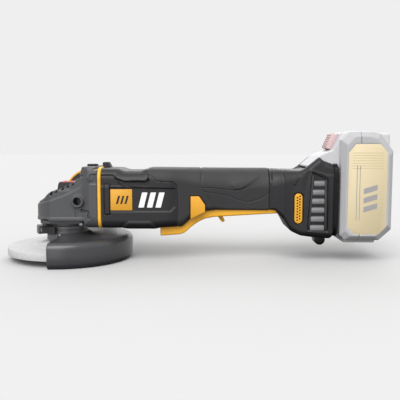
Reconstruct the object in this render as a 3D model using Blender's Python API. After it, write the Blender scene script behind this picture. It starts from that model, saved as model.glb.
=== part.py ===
"""Cordless 125 mm angle grinder, modelled as the separate pieces it comes apart into.

Frame: origin at the centre of the spindle's nose end face, +Z up the spindle, +X along the motor
towards the battery, +Y towards the side handle. Sizes below are in millimetres and are scaled by MM.
"""
import math

import bmesh
import bpy
from mathutils import Vector

MM = 0.001
FIT = 0.3  # gap left between two pieces that touch
WELD = 0.01  # points closer than this after a cut are one point

# Gear train
MOTOR_Z = 56.3  # height of the motor axis, which crosses the spindle axis
CROWN_TEETH = 37
PINION_TEETH = 10
RATIO = CROWN_TEETH / PINION_TEETH
PINION_START, PINION_END = 14.0, 22.0
CROWN_INNER, CROWN_OUTER = 13.6, 22.6
CROWN_BOTTOM, CROWN_HUB_TOP = 40.3, 50.4
ADDENDUM, DEDENDUM = 0.65, 0.95
TIP_SHARE, ROOT_SHARE = 0.13, 0.24  # half widths of a tooth, as shares of its pitch

# Disc and guard
DISC_R = 62.5
DISC_BOTTOM, DISC_TOP = -2.0, 6.0
HUB_BOTTOM, HUB_TOP = 6.8, 9.8
GUARD_R = 70.3
GUARD_SHEET = 2.0
GUARD_TOP = 17.3
GUARD_LIP = -8.3
GUARD_HALF_ANGLE = 94
COLLAR_INNER, COLLAR_OUTER = 19.9, 21.8
COLLAR_BOTTOM, COLLAR_TOP = 19.0, 27.5
CLAMP_ANGLE = 202  # direction of the split in the collar
EAR_R = 32.4
LEVER_R, LEVER_ANGLE = 28.0, 220.6  # where the clamp lever is hinged

# Gear case
CASE_BOTTOM = 34.1
CASE_NOSE_R = 30.8
CASE_HALF_WIDTH = 28.5
NECK_START, CASE_END = 24.4, 38.4
CAVITY_R = 24.5
HANDLE_X, HANDLE_Z = 17.7, 54.8
HANDLE_HOLE_R = 4.0
BOSS_R, BOSS_FACE = 6.25, 33.0
CAP_SCREW_XY = 19.2
CASE_SCREW_Y = 25.0
CASE_SCREW_SEAT = 26.9
CASE_SCREW_HEIGHTS = (32.0, 80.5)
LOCK_X = 2.5
LOCK_PIN_X, LOCK_PIN_R = 9.2, 1.6
TOWER_BOTTOM, TOWER_TOP = 66.0, 73.4
BUTTON_BOTTOM, BUTTON_TOP = 71.8, 74.1

# Ring between gear case and motor housing
RING_START, RING_END = 38.7, 42.2
RING_HALF_WIDTH, RING_LOW, RING_HIGH = 32.9, 26.2, 90.0

# Motor housing, grip and foot
HOUSING_START, FOOT_END = 42.6, 285.2
WALL = 2.6
SEAM = 0.15  # half of the gap between the two halves
MOTOR_BORE = 26.6
MOTOR_SEAT_END = 62.0
GRIP_START, GRIP_END = 121.0, 216.7
GRIP_SKIN = 1.6
NOTCH_START, NOTCH_END, NOTCH_HALF = 100.4, 227.7, 18.6
CHEEK_INNER = 24.6
TOP_LINE = ((42.6, 89), (216, 88.2), (241, 86.8), (250, 86.6), (256, 88.4), (285.2, 88.4))
CHEEK_LINE = (
    (42.6, 89), (216, 88.2), (241, 86.8), (247.6, 86.6), (252.2, 88.6),
    (267.7, 101), (270.9, 97), (281.7, 93), (285.2, 89.2),
)
BOTTOM_LINE = (
    (42.6, 26.4), (64, 26.4), (68, 25.6), (100, 25.6), (102, 26.4), (125.4, 27.6), (134.3, 35.9), (139.7, 40), (149, 43.8),
    (161.1, 45.3), (223, 44.9), (226.6, 41.1), (232.4, 34.5), (238.4, 23.3), (248.9, 18.5),
    (260.9, 16.9), (279.7, 15.3), (285.2, 21.7),
)
WIDTH_LINE = (
    (42.6, 32), (112, 32), (130, 28), (152, 26), (172, 23), (216, 22.5), (228, 24.5), (240, 30),
    (246, 32), (285.2, 32),
)
FOOT_WIDTH_LINE = (  # half width along the bottom edge
    (42.6, 31), (112, 31), (130, 27), (152, 24.5), (172, 21.3), (216, 21), (228, 23.5), (240, 28.5),
    (246, 30.5), (285.2, 30.5),
)
TOP_ROUND_LINE = ((42.6, 11), (112, 12), (150, 18), (172, 20), (216, 20), (240, 12), (250, 6.5), (285.2, 6.5))
BOSS_PLACES = ((116, 75.5), (116, 42.5), (222, 70), (250.5, 74))

# Paddle
PADDLE_PIVOT = (221.0, 47.5)
PADDLE_SWING = 2.3  # degrees
PADDLE_START, PADDLE_FRONT_WALL, PADDLE_END = 102.2, 104.6, 226.6
PADDLE_HALF, PADDLE_WALL = 18.0, 2.2
PADDLE_HIDDEN = 2.0  # how far its walls reach up inside the housing
PADDLE_TOP_LINE = (
    (102.2, 25.5), (125.4, 27.1), (134.3, 35.3), (139.7, 39.4), (149, 43.2), (161.1, 44.7), (207.5, 44.0),
    (213, 44.2), (214, 48.8), (226.6, 48.8),
)
PADDLE_BOTTOM_LINE = (
    (102.2, 16.9), (124, 18.6), (128.8, 20.7), (135.6, 27.2), (142.4, 31.8), (149, 35.1), (159.2, 37.1),
    (207.6, 39.9), (226.6, 40.9),
)
LOCK_OFF_PIVOT = (163.0, 41.3)
LOCK_OFF_OUTLINE = ((160.9, 43.4), (165.1, 43.4), (171.0, 31.4), (168.2, 29.6), (160.9, 39.6))

# Battery
BATTERY_FRONT, BATTERY_REAR = 288.3, 341.6
BATTERY_HALF = 37.0
BATTERY_SPLIT = 307.5
CELL_R, CELL_PITCH = 9.0, 18.6
BUTTON_SLOPE = math.atan2(18.8, 8.1)  # angle of the battery's ramp above +X
RELEASE_LENGTH, RELEASE_DEPTH, RELEASE_HALF, RELEASE_TRAVEL = 17.0, 7.0, 11.0, 3.0
RELEASE_CENTRE = (280.6, 117.8)  # middle of the button's outer face

# Side handle
HANDLE_FLANGE_R, HANDLE_FLANGE_Y = 31.5, 46.0
HANDLE_GRIP_START, HANDLE_GRIP_END, HANDLE_END = 52.0, 150.0, 158.5

FINISHES = {  # colour, roughness, metallic
    "case_grey": ((0.075, 0.075, 0.08), 0.45, 0.0),
    "housing_black": ((0.030, 0.029, 0.032), 0.5, 0.0),
    "rubber_black": ((0.050, 0.050, 0.052), 0.75, 0.0),
    "yellow": ((0.83, 0.44, 0.035), 0.45, 0.0),
    "button_red": ((0.62, 0.12, 0.10), 0.4, 0.0),
    "battery_grey": ((0.56, 0.56, 0.57), 0.5, 0.0),
    "disc_grey": ((0.68, 0.68, 0.68), 0.9, 0.0),
    "guard_black": ((0.045, 0.045, 0.048), 0.35, 0.2),
    "steel": ((0.55, 0.55, 0.56), 0.3, 1.0),
    "dark_steel": ((0.12, 0.12, 0.13), 0.4, 0.9),
    "aluminium": ((0.7, 0.7, 0.71), 0.4, 1.0),
    "copper": ((0.72, 0.35, 0.16), 0.4, 0.9),
    "slat_grey": ((0.22, 0.22, 0.23), 0.5, 0.0),
    "release_pink": ((0.70, 0.42, 0.42), 0.5, 0.0),
}


def along(line, x):
    """Height or width at x on a line of (x, value) points, straight between them."""
    if x <= line[0][0]:
        return line[0][1]
    for (x0, v0), (x1, v1) in zip(line, line[1:]):
        if x <= x1:
            return v0 + (v1 - v0) * (x - x0) / (x1 - x0)
    return line[-1][1]


def arc(centre, radius, start, end, steps):
    """Points on an arc, angles in degrees, both ends included."""
    turn = [math.radians(start + (end - start) * i / steps) for i in range(steps + 1)]
    return [(centre[0] + radius * math.cos(a), centre[1] + radius * math.sin(a)) for a in turn]


def rounded_box(low, high, radius, steps=4):
    """Corner-rounded rectangle, counter-clockwise."""
    (x0, y0), (x1, y1) = low, high
    r = radius
    return (
        arc((x1 - r, y0 + r), r, -90, 0, steps) + arc((x1 - r, y1 - r), r, 0, 90, steps)
        + arc((x0 + r, y1 - r), r, 90, 180, steps) + arc((x0 + r, y0 + r), r, 180, 270, steps)
    )


def finish_material(name, finish):
    colour, roughness, metallic = FINISHES[finish]
    made = bpy.data.materials.new(name)
    made.use_nodes = True
    shader = made.node_tree.nodes["Principled BSDF"]
    shader.inputs["Base Color"].default_value = (*colour, 1)
    shader.inputs["Roughness"].default_value = roughness
    shader.inputs["Metallic"].default_value = metallic
    made.diffuse_color = (*colour, 1)
    return made


def add_object(name, points, faces, finish, pivot=None):
    """One solid from points in millimetres; a moving piece has its origin on its pivot."""
    base = Vector(pivot.location) if pivot else Vector()
    mesh = bpy.data.meshes.new(name)
    mesh.from_pydata([Vector(p) * MM - base for p in points], [], faces)
    shape = bmesh.new()
    shape.from_mesh(mesh)
    bmesh.ops.recalc_face_normals(shape, faces=shape.faces)
    shape.to_mesh(mesh)
    shape.free()
    mesh.shade_smooth()
    mesh.set_sharp_from_angle(angle=math.radians(35))
    made = bpy.data.objects.new(name, mesh)
    bpy.context.scene.collection.objects.link(made)
    made.parent = pivot
    if finish:
        made.data.materials.append(finish_material(name, finish))
    else:
        made.hide_render = True
        made.display_type = "WIRE"
    return made


def loft(name, sections, finish, pivot=None, capped=True):
    """Skin through closed loops of equal length; uncapped, the last loop joins the first."""
    count = len(sections[0])
    rings = len(sections)
    points = [p for section in sections for p in section]
    faces = []
    for k in range(rings if not capped else rings - 1):
        a, b = k * count, ((k + 1) % rings) * count
        faces += [(a + i, a + (i + 1) % count, b + (i + 1) % count, b + i) for i in range(count)]
    if capped:
        faces += [tuple(range(count))[::-1], tuple((rings - 1) * count + i for i in range(count))]
    return add_object(name, points, faces, finish, pivot)


def prism(name, outline, axis, low, high, finish, pivot=None):
    """Outline extruded along axis. X takes (y, z) points, Y takes (x, z) and Z takes (x, y)."""
    place = {
        "X": lambda u, v, w: (w, u, v),
        "Y": lambda u, v, w: (u, w, v),
        "Z": lambda u, v, w: (u, v, w),
    }[axis]
    return loft(name, [[place(u, v, w) for u, v in outline] for w in (low, high)], finish, pivot)


def block(name, low, high, finish, pivot=None):
    outline = [(low[0], low[1]), (high[0], low[1]), (high[0], high[1]), (low[0], high[1])]
    return prism(name, outline, "Z", low[2], high[2], finish, pivot)


def turned(name, profile, finish, centre=(0, 0, 0), axis="Z", steps=32, pivot=None):
    """Profile of (radius, height) points turned about an axis through centre.

    A profile whose ends lie on the axis makes a solid; any other is a closed loop and makes a ring.
    """
    place = {
        "X": lambda r, a, h: (centre[0] + h, centre[1] + r * math.cos(a), centre[2] + r * math.sin(a)),
        "Y": lambda r, a, h: (centre[0] + r * math.cos(a), centre[1] + h, centre[2] + r * math.sin(a)),
        "Z": lambda r, a, h: (centre[0] + r * math.cos(a), centre[1] + r * math.sin(a), centre[2] + h),
    }[axis]
    turns = [2 * math.pi * i / steps for i in range(steps)]
    if profile[0][0] > 0:
        loops = [[place(r, a, h) for r, h in profile] for a in turns]
        return loft(name, loops, finish, pivot, capped=False)
    middle = profile[1:-1]
    points = [place(0, 0, profile[0][1]), place(0, 0, profile[-1][1])]
    points += [place(r, a, h) for r, h in middle for a in turns]
    faces = []
    for i in range(steps):
        j = (i + 1) % steps
        faces.append((0, 2 + i, 2 + j))
        last = 2 + (len(middle) - 1) * steps
        faces.append((1, last + j, last + i))
        for k in range(len(middle) - 1):
            a = 2 + k * steps
            faces.append((a + i, a + steps + i, a + steps + j, a + j))
    return add_object(name, points, faces, finish, pivot)


def rod(name, radius, start, end, finish, steps=24, pivot=None):
    """Plain round bar between two points along one of the axes."""
    axis = "XYZ"[max(range(3), key=lambda i: abs(end[i] - start[i]))]
    length = end["XYZ".index(axis)] - start["XYZ".index(axis)]
    return turned(name, [(0, 0), (radius, 0), (radius, length), (0, length)], finish, start, axis, steps, pivot)


def soften(made, width, segments=2, angle=30):
    bevel = made.modifiers.new("soften", "BEVEL")
    bevel.width = width * MM
    bevel.segments = segments
    bevel.limit_method = "ANGLE"
    bevel.angle_limit = math.radians(angle)
    return made


def boolean(made, other, operation):
    step = made.modifiers.new(operation.lower(), "BOOLEAN")
    step.operation = operation
    step.object = other
    step.solver = "EXACT"
    weld = made.modifiers.new("weld", "WELD")
    weld.merge_threshold = WELD * MM
    return made


def cut(made, *tools):
    for tool in tools:
        boolean(made, tool, "DIFFERENCE")
    return made


def pivot_at(name, x, y, z):
    """Empty on a joint's axis, which the joint's pieces are parented to."""
    made = bpy.data.objects.new(name, None)
    made.location = (x * MM, y * MM, z * MM)
    bpy.context.scene.collection.objects.link(made)
    return made


def coil(name, centre, radius, wire, low, high, turns, finish, pivot=None):
    """Compression spring along Z, with its wire's ends capped."""
    steps = 10
    count = turns * steps
    rise = (high - low - 2 * wire) / count
    path = [
        (
            centre[0] + radius * math.cos(2 * math.pi * i / steps),
            centre[1] + radius * math.sin(2 * math.pi * i / steps),
            low + wire + rise * i,
        )
        for i in range(count + 1)
    ]
    loops = []
    for i, (x, y, z) in enumerate(path):
        a = 2 * math.pi * i / steps
        out = (math.cos(a), math.sin(a))
        loops.append([
            (x + wire * math.cos(b) * out[0], y + wire * math.cos(b) * out[1], z + wire * math.sin(b))
            for b in (2 * math.pi * k / 5 for k in range(5))
        ])
    return loft(name, loops, finish, pivot)


# ---- gear case -----------------------------------------------------------------------------------


def case_profile():
    """Side outline of the gear case in (x, z)."""
    return [
        (-30.8, CASE_BOTTOM), (NECK_START - 0.2, CASE_BOTTOM), (NECK_START, 29.6), (27, 26.6), (CASE_END, 26.6),
        (CASE_END, 87), (34.6, 87), (34.4, 90.4), (22.4, 90.4), (21, 86), (18.7, 78.7), (15.4, 77.4), (13, 65.7),
        (-9.1, 65.7), (-14.7, 62.2), (-19.7, 57.3), (-26.9, 53.5), (-29.5, 49.2),
    ]


def case_plan():
    """Top outline of the gear case in (x, y): round nose, flat cheeks, wide neck."""
    side = [(CASE_END, 31.5), (30, 31.5), (22, CASE_HALF_WIDTH)]
    nose = arc((0, 0), CASE_NOSE_R, 112, 248, 14)
    return side + nose + [(x, -y) for x, y in reversed(side)]


def case_screw_places():
    """Screws that join the gear case to the housing, in (y, z)."""
    return [(y, z) for y in (-CASE_SCREW_Y, CASE_SCREW_Y) for z in CASE_SCREW_HEIGHTS]


def cap_screw_places():
    """Screws that hold the bearing cap, in (x, y)."""
    return [(x, y) for x in (-CAP_SCREW_XY, CAP_SCREW_XY) for y in (-CAP_SCREW_XY, CAP_SCREW_XY)]


def make_gear_case():
    case = prism("gear_case", case_profile(), "Y", -34, 34, "case_grey")
    plan = prism("cut_case_plan", case_plan(), "Z", 0, 100, None)
    ends = prism("cut_case_ends", rounded_box((-31.5, 24.1), (31.5, 95), 11), "X", -40, 60, None)
    boolean(case, plan, "INTERSECT")
    boolean(case, ends, "INTERSECT")
    for side in (-1, 1):
        low, high = sorted((side * 20, side * BOSS_FACE))
        boss = rod(f"cut_boss_{side + 1}", BOSS_R, (HANDLE_X, low, HANDLE_Z), (HANDLE_X, high, HANDLE_Z), None)
        boolean(case, boss, "UNION")
    cavity = turned(
        "cut_cavity",
        [(0, 30), (CAVITY_R, 30), (CAVITY_R, 51.6), (14, 58.8), (6.5, 58.8), (6.5, 63.4), (0, 63.4)],
        None, steps=32,
    )
    pinion_space = rod("cut_pinion_space", 7.6, (12, 0, MOTOR_Z), (31, 0, MOTOR_Z), None)
    bearing_seat = rod("cut_bearing_seat", 9.8, (29.6, 0, MOTOR_Z), (45, 0, MOTOR_Z), None)
    cut(case, cavity, pinion_space, bearing_seat)
    for side in (-1, 1):
        low, high = sorted((side * 20.2, side * 40))
        start, end = (HANDLE_X, low, HANDLE_Z), (HANDLE_X, high, HANDLE_Z)
        cut(case, rod(f"cut_handle_hole_{side + 1}", HANDLE_HOLE_R, start, end, None))
    cut(case, rod("cut_plug_hole", 4.0, (28.5, 0, 80), (28.5, 0, 100), None))
    cut(case, rod("cut_pin_hole", LOCK_PIN_R + 0.35, (LOCK_PIN_X, 0, 57), (LOCK_PIN_X, 0, 70), None, 12))
    for k, (y, z) in enumerate(case_screw_places()):
        cut(case, rod(f"cut_case_counterbore_{k}", 3.7, (-40, y, z), (CASE_SCREW_SEAT + 0.3, y, z), None, 14))
        cut(case, rod(f"cut_case_screw_hole_{k}", 2.3, (20, y, z), (45, y, z), None, 12))
    for k, (x, y) in enumerate(cap_screw_places()):
        cut(case, rod(f"cut_cap_screw_hole_{k}", 2.2, (x, y, 30), (x, y, 44), None, 12))


def make_bearing_cap():
    """Cap under the gear case: it holds the lower bearing, and the guard clamps round its neck."""
    cap = turned(
        "bearing_cap",
        [
            (8.6, 18.3), (19.6, 18.3), (19.6, 27.8), (21.4, 27.8), (21.4, 33.8), (24.1, 33.8), (24.1, 37.0),
            (16, 37.0), (14.3, 35), (14.3, 19.8), (8.6, 19.8),
        ],
        "case_grey", steps=32,
    )
    edge = 23.6
    flange = prism("cut_cap_flange", rounded_box((-edge, -edge), (edge, edge), 6), "Z", 30.8, 33.8, None)
    core = rod("cut_cap_core", 20.5, (0, 0, 29), (0, 0, 35), None, 32)
    cut(flange, core)
    boolean(cap, flange, "UNION")
    for k, (x, y) in enumerate(cap_screw_places()):
        cut(cap, rod(f"cut_cap_hole_{k}", 2.3, (x, y, 25), (x, y, 40), None, 12))


def make_case_screws():
    for k, (y, z) in enumerate(case_screw_places()):
        shape = [(0, 0), (2.6, 0), (3.2, 0.7), (3.2, 2.8), (2.0, 2.8), (2.0, 28), (0, 28)]
        turned(f"gear_case_screw_{k + 1}", shape, "dark_steel", (CASE_SCREW_SEAT - 2.8, y, z), "X", 12)


def make_ring():
    def loop(x, grow, hole):
        y, low, high = RING_HALF_WIDTH + grow, RING_LOW - grow, RING_HIGH + grow
        outer = [(x, u, v) for u, v in rounded_box((-y, low), (y, high), 11 + grow, 5)]
        return outer if not hole else [(x, u, v) for u, v in rounded_box((-29.8, 28.6), (29.8, 87.4), 8.5, 5)]

    rise = (RING_END - RING_START) * 0.25
    stations = [
        loop(RING_START, -0.8, False), loop(RING_START + rise, 0, False), loop(RING_END - rise, 0, False),
        loop(RING_END, -0.8, False), loop(RING_END, 0, True), loop(RING_START, 0, True),
    ]
    loft("case_ring", stations, "yellow", capped=False)


def make_spindle_lock():
    tower_low = rounded_box((-8.2, -9.2), (13, 9.2), 3, 3)
    tower_high = rounded_box((-6.6, -8.6), (12.6, 8.6), 2.6, 3)
    sections = [[(x, y, TOWER_BOTTOM) for x, y in tower_low], [(x, y, TOWER_TOP) for x, y in tower_high]]
    tower = loft("spindle_lock_tower", sections, "rubber_black")
    well = prism("cut_tower_well", rounded_box((-4.9, -7.1), (12.0 - 0.9, 7.1), 2, 3), "Z", 68.4, 80, None)
    bore = rod("cut_tower_bore", LOCK_PIN_R + 0.35, (LOCK_PIN_X, 0, 60), (LOCK_PIN_X, 0, 80), None, 12)
    cut(tower, well, bore)
    return tower


def make_lock_button(pivot):
    cap = prism("spindle_lock_button", rounded_box((-4.5, -6.7), (10.7, 6.7), 1.8, 3), "Z", BUTTON_BOTTOM,
                BUTTON_TOP, "button_red", pivot)
    soften(cap, 0.5, 1)
    pin_low, pin_high = 51.0, BUTTON_BOTTOM - FIT
    rod("spindle_lock_pin", LOCK_PIN_R, (LOCK_PIN_X, 0, pin_low), (LOCK_PIN_X, 0, pin_high), "steel", 16, pivot)
    coil("spindle_lock_spring", (1.0, 0), 3.2, 0.4, 68.5, BUTTON_BOTTOM - 0.1, 3, "steel", pivot)


def make_hole_plug():
    shape = [(0, 84), (3.7, 84), (3.7, 90.7), (5.6, 90.7), (5.85, 91.2), (5.85, 92.2), (5.3, 92.7), (0, 92.7)]
    turned("handle_hole_plug", shape, "rubber_black", (28.5, 0, 0), "Z", 16)


# ---- spindle -------------------------------------------------------------------------------------


def pinion_radius(reach):
    """Pitch radius of the pinion's cone at a distance from the spindle axis."""
    return reach / RATIO


def tooth_angles(teeth, offset):
    """Four angles per tooth: root, tip, tip, root, with whether each is on the tip."""
    pitch = 2 * math.pi / teeth
    for k in range(teeth):
        for share, tip in ((-ROOT_SHARE, False), (-TIP_SHARE, True), (TIP_SHARE, True), (ROOT_SHARE, False)):
            yield offset + pitch * (k + share), tip


def make_crown_gear(pivot):
    def height(reach, tip):
        return MOTOR_Z - pinion_radius(reach) + (ADDENDUM if tip else -DEDENDUM)

    angles = list(tooth_angles(CROWN_TEETH, 0))

    def ring(r, z=None):
        return [(r * math.cos(a), r * math.sin(a), height(r, tip) if z is None else z) for a, tip in angles]

    loops = [
        ring(6.1, CROWN_BOTTOM), ring(22.8, 42), ring(CROWN_OUTER), ring(CROWN_INNER),
        ring(13.0, CROWN_HUB_TOP), ring(6.1, CROWN_HUB_TOP),
    ]
    gear = loft("crown_gear", loops, "dark_steel", pivot, capped=False)
    for k in range(4):
        a = math.radians(90 * k)
        x, y = LOCK_PIN_X * math.cos(a), LOCK_PIN_X * math.sin(a)
        cut(gear, rod(f"cut_lock_hole_{k}", 2.1, (x, y, 46.5), (x, y, 55), None, 8))


def make_spindle(pivot):
    shape = [
        (0, 0), (6.2, 0), (7, 0.8), (7, 14.3), (8.2, 14.3), (8.2, 19.6), (5.8, 19.6), (5.8, 55.5), (4, 55.5),
        (4, 62.6), (0, 62.6),
    ]
    turned("spindle", shape, "steel", steps=24, pivot=pivot)


def make_disc(pivot):
    shape = [
        (11.2, HUB_BOTTOM), (22.5, HUB_BOTTOM), (34, DISC_BOTTOM), (DISC_R - 0.4, DISC_BOTTOM),
        (DISC_R, DISC_BOTTOM + 0.4), (DISC_R, DISC_TOP - 0.4), (DISC_R - 0.4, DISC_TOP), (37, DISC_TOP),
        (24.5, HUB_TOP), (11.2, HUB_TOP),
    ]
    turned("grinding_disc", shape, "disc_grey", steps=44, pivot=pivot)
    flange = [(7.3, HUB_TOP + FIT), (20, HUB_TOP + FIT), (20, 12.4), (12, 14.0), (7.3, 14.0)]
    turned("inner_flange", flange, "dark_steel", steps=24, pivot=pivot)
    nut = turned(
        "clamp_nut", [(7.3, 1.4), (19.2, 1.4), (20, 2.2), (20, HUB_BOTTOM - FIT), (7.3, HUB_BOTTOM - FIT)],
        "dark_steel", steps=24, pivot=pivot,
    )
    for k in range(2):
        x = 14.5 * (1 if k else -1)
        cut(nut, rod(f"cut_nut_hole_{k}", 2.1, (x, 0, 0), (x, 0, 4.4), None, 12))


def make_bearing(name, centre, axis, inner, outer, width):
    w = width / 2
    c = 0.5
    shape = [
        (inner, -w), (outer - c, -w), (outer, -w + c), (outer, w - c), (outer - c, w), (inner, w),
    ]
    turned(name, shape, "steel", centre, axis, 20)


# ---- motor ---------------------------------------------------------------------------------------


def make_pinion(pivot):
    down = -math.pi / 2 + math.pi / PINION_TEETH  # a gap, not a tooth, faces the crown gear
    angles = list(tooth_angles(PINION_TEETH, down))

    def ring(x, inner):
        loop = []
        for a, tip in angles:
            r = 2.3 if inner else pinion_radius(x) + (ADDENDUM if tip else -DEDENDUM)
            loop.append((x, r * math.cos(a), MOTOR_Z + r * math.sin(a)))
        return loop

    start, end = PINION_START, PINION_END
    loops = [ring(start, False), ring(end, False), ring(end, True), ring(start, True)]
    loft("pinion_gear", loops, "dark_steel", pivot, capped=False)


def make_fan(pivot):
    blades, tip, root = 11, 24.0, 10.0
    half = 1.0

    def ring(x, star, inner=False):
        loop = []
        for k in range(blades):
            a = 2 * math.pi * k / blades
            for side, out in ((-1, False), (-1, True), (1, True), (1, False)):
                r = 4.3 if inner else (tip if out or not star else root)
                b = a + side * half / (tip if out else root)
                loop.append((x, r * math.cos(b), MOTOR_Z + r * math.sin(b)))
        return loop

    loops = [
        ring(44.0, False), ring(45.4, False), ring(45.45, True), ring(51.4, True), ring(51.4, True, True),
        ring(44.0, True, True),
    ]
    loft("cooling_fan", loops, "rubber_black", pivot, capped=False)


def make_rotor(pivot):
    shaft = [(0, 14), (2, 14), (2, 22.3), (4, 22.3), (4, 97.5), (0, 97.5)]
    turned("rotor_shaft", shaft, "steel", (0, 0, MOTOR_Z), "X", 24, pivot)
    core = [(4.3, 57), (14.6, 57), (15.2, 57.6), (15.2, 82.4), (14.6, 83), (4.3, 83)]
    turned("rotor_core", core, "dark_steel", (0, 0, MOTOR_Z), "X", 28, pivot)
    make_pinion(pivot)
    make_fan(pivot)


def make_stator():
    teeth = 6

    def plain(x, radius):
        return [(x, radius * math.cos(a), MOTOR_Z + radius * math.sin(a)) for a in turns]

    turns = [2 * math.pi * i / 30 for i in range(30)]
    tube = loft("stator_core", [plain(56, 25.5), plain(84, 25.5), plain(84, 16), plain(56, 16)], "dark_steel",
                capped=False)
    for k in range(teeth):
        a = 2 * math.pi * (k + 0.5) / teeth
        y, z = 19.2 * math.cos(a), MOTOR_Z + 19.2 * math.sin(a)
        cut(tube, rod(f"cut_stator_slot_{k}", 2.4, (50, y, z), (95, y, z), None, 8))
    heads = []
    for k, low in enumerate((52.4, 84.3)):
        high = low + 3.3
        shape = [(16.4, low), (24, low), (24.6, low + 1), (24.6, high - 1), (24, high), (16.4, high)]
        finish = None if k else "copper"
        name = "cut_rear_coils" if k else "stator_windings"
        heads.append(turned(name, shape, finish, (0, 0, MOTOR_Z), "X", 24))
    boolean(heads[0], heads[1], "UNION")
    for k in range(teeth):
        a = 2 * math.pi * (k + 0.5) / teeth
        y, z = 19.2 * math.cos(a), MOTOR_Z + 19.2 * math.sin(a)
        boolean(heads[0], rod(f"cut_coil_side_{k}", 1.9, (54, y, z), (86, y, z), None, 8), "UNION")
    bell = [(9.8, 89), (24.6, 89), (25.2, 90), (25.2, 92.5), (12.5, 94), (12.5, 96.6), (9.8, 96.6)]
    turned("motor_end_bell", bell, "aluminium", (0, 0, MOTOR_Z), "X", 24)


# ---- housing, grip and foot ----------------------------------------------------------------------


def paddle_lift(x):
    """How far the paddle rises at x when it is squeezed."""
    return max(0.0, (PADDLE_PIVOT[0] - x) * math.radians(PADDLE_SWING))


def notch_ceiling(x):
    """Underside of the housing over the paddle; elsewhere it is the bottom line itself."""
    base = along(BOTTOM_LINE, x)
    if not NOTCH_START <= x <= NOTCH_END:
        return base
    tall = max(base, along(PADDLE_TOP_LINE, x))
    return tall + PADDLE_HIDDEN + paddle_lift(x) + 0.9


def inner_floor(x):
    near = [notch_ceiling(x + step) for step in (-WALL, -WALL / 2, 0, WALL / 2, WALL)]
    return max(near) + 2.0


def skin_inset(x):
    return GRIP_SKIN if GRIP_START <= x <= GRIP_END else 0.0


def bottom_round(x, half_width):
    return min(9.0 if x < NOTCH_END else 6.0, half_width - NOTCH_HALF - 0.6)


def outer_path(x, side, inset):
    """From the top seam over the shoulder and down the side to the bottom edge, in (y, z)."""
    w, wb = along(WIDTH_LINE, x) - inset, along(FOOT_WIDTH_LINE, x) - inset
    top, cheek = along(TOP_LINE, x) - inset, along(CHEEK_LINE, x) - inset
    low = along(BOTTOM_LINE, x)
    r = along(TOP_ROUND_LINE, x) - inset
    rb = bottom_round(x, wb)
    step = min(CHEEK_INNER, w - r - 0.3)
    path = [(SEAM, top), (step - 0.1, top), (step, max(cheek, top))]
    path += arc((w - r, max(cheek, top) - r), r, 90, 0, 3)
    path += arc((wb - rb, low + rb), rb, -8, -90, 2)
    return [(side * y, z) for y, z in path]


def housing_loop(x, side):
    inset = skin_inset(x)
    w = along(WIDTH_LINE, x) - inset - WALL
    ceiling, top = notch_ceiling(x), along(TOP_LINE, x) - inset - WALL
    outer = outer_path(x, side, inset)
    edge = side * NOTCH_HALF
    base = [(edge, along(BOTTOM_LINE, x)), (edge - side * 0.01, ceiling), (side * SEAM, ceiling)]
    if x <= MOTOR_SEAT_END:
        inner = [(y, MOTOR_Z + z) for y, z in arc((0, 0), MOTOR_BORE, -89.6, 89.6, 7)]
    else:
        floor = inner_floor(x)
        r = max(2.0, min(along(TOP_ROUND_LINE, x) - inset - WALL, 0.42 * (top - floor), w - 1))
        wf = along(FOOT_WIDTH_LINE, x) - inset
        rf = max(3.0, bottom_round(x, wf) - 1.5)
        inner = [(SEAM, floor)] + arc((wf - WALL - rf, floor + rf), rf, -90, 0, 2)
        inner += arc((w - r, top - r), r, 0, 90, 2) + [(SEAM, top)]
    inner = [(side * y, z) for y, z in inner]
    return [(x, y, z) for y, z in outer + base + inner]


def housing_stations():
    fixed = [HOUSING_START, MOTOR_SEAT_END, MOTOR_SEAT_END + 0.1, NOTCH_START - 2.7, NOTCH_START - 2.6]
    fixed += [NOTCH_START - 0.1, NOTCH_START, 112, GRIP_START - 0.05, GRIP_START, 125.4, 134.3, 139.7, 149]
    fixed += [161.1, 172, 212.9, 214.1, GRIP_END, GRIP_END + 0.05, 223, 226.6, NOTCH_END, NOTCH_END + 0.1]
    fixed += [NOTCH_END + 2.6, 232.4, 238.4, 246, 248.9, 252.2, 260.9, 267.7, 270.9, 279.7]
    return sorted(set(fixed + [FOOT_END]))


INSERT_OUTLINE = ((134.5, 36.6), (149.4, 43.9), (149.4, 50.9), (143.2, 59.9), (134.5, 59.9))
VENT_OUTLINE = ((255.1, 26.6), (276.0, 25.1), (275.4, 77.2), (259.4, 84.0))
PILL_X, PILL_HALF, PILL_LOW, PILL_HIGH = 245.7, 4.0, 32.0, 63.1


def grown(outline, amount):
    """Outline pushed outwards from its middle by about amount."""
    cx = sum(p[0] for p in outline) / len(outline)
    cz = sum(p[1] for p in outline) / len(outline)
    made = []
    for x, z in outline:
        far = math.hypot(x - cx, z - cz)
        made.append((x + (x - cx) / far * amount * 1.4, z + (z - cz) / far * amount * 1.4))
    return made


def pill_outline(grow):
    r = PILL_HALF + grow
    top, low = PILL_HIGH - PILL_HALF, PILL_LOW + PILL_HALF
    return arc((PILL_X, low), r, 180, 360, 8) + arc((PILL_X, top), r, 0, 180, 8)


def side_tools(label, side):
    """Pockets in a half's outer wall, as cutters."""
    def through(name, outline, depth):
        low, high = sorted((side * depth, side * 45))
        return prism(f"cut_{name}_{label}", outline, "Y", low, high, None)

    insert = through("insert", grown(INSERT_OUTLINE, 0.35), 24.5)
    vent = through("vent", grown(VENT_OUTLINE, 0.35), 26.0)
    pill = through("pill", pill_outline(0.3), 25.0)
    return insert, vent, pill


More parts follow.
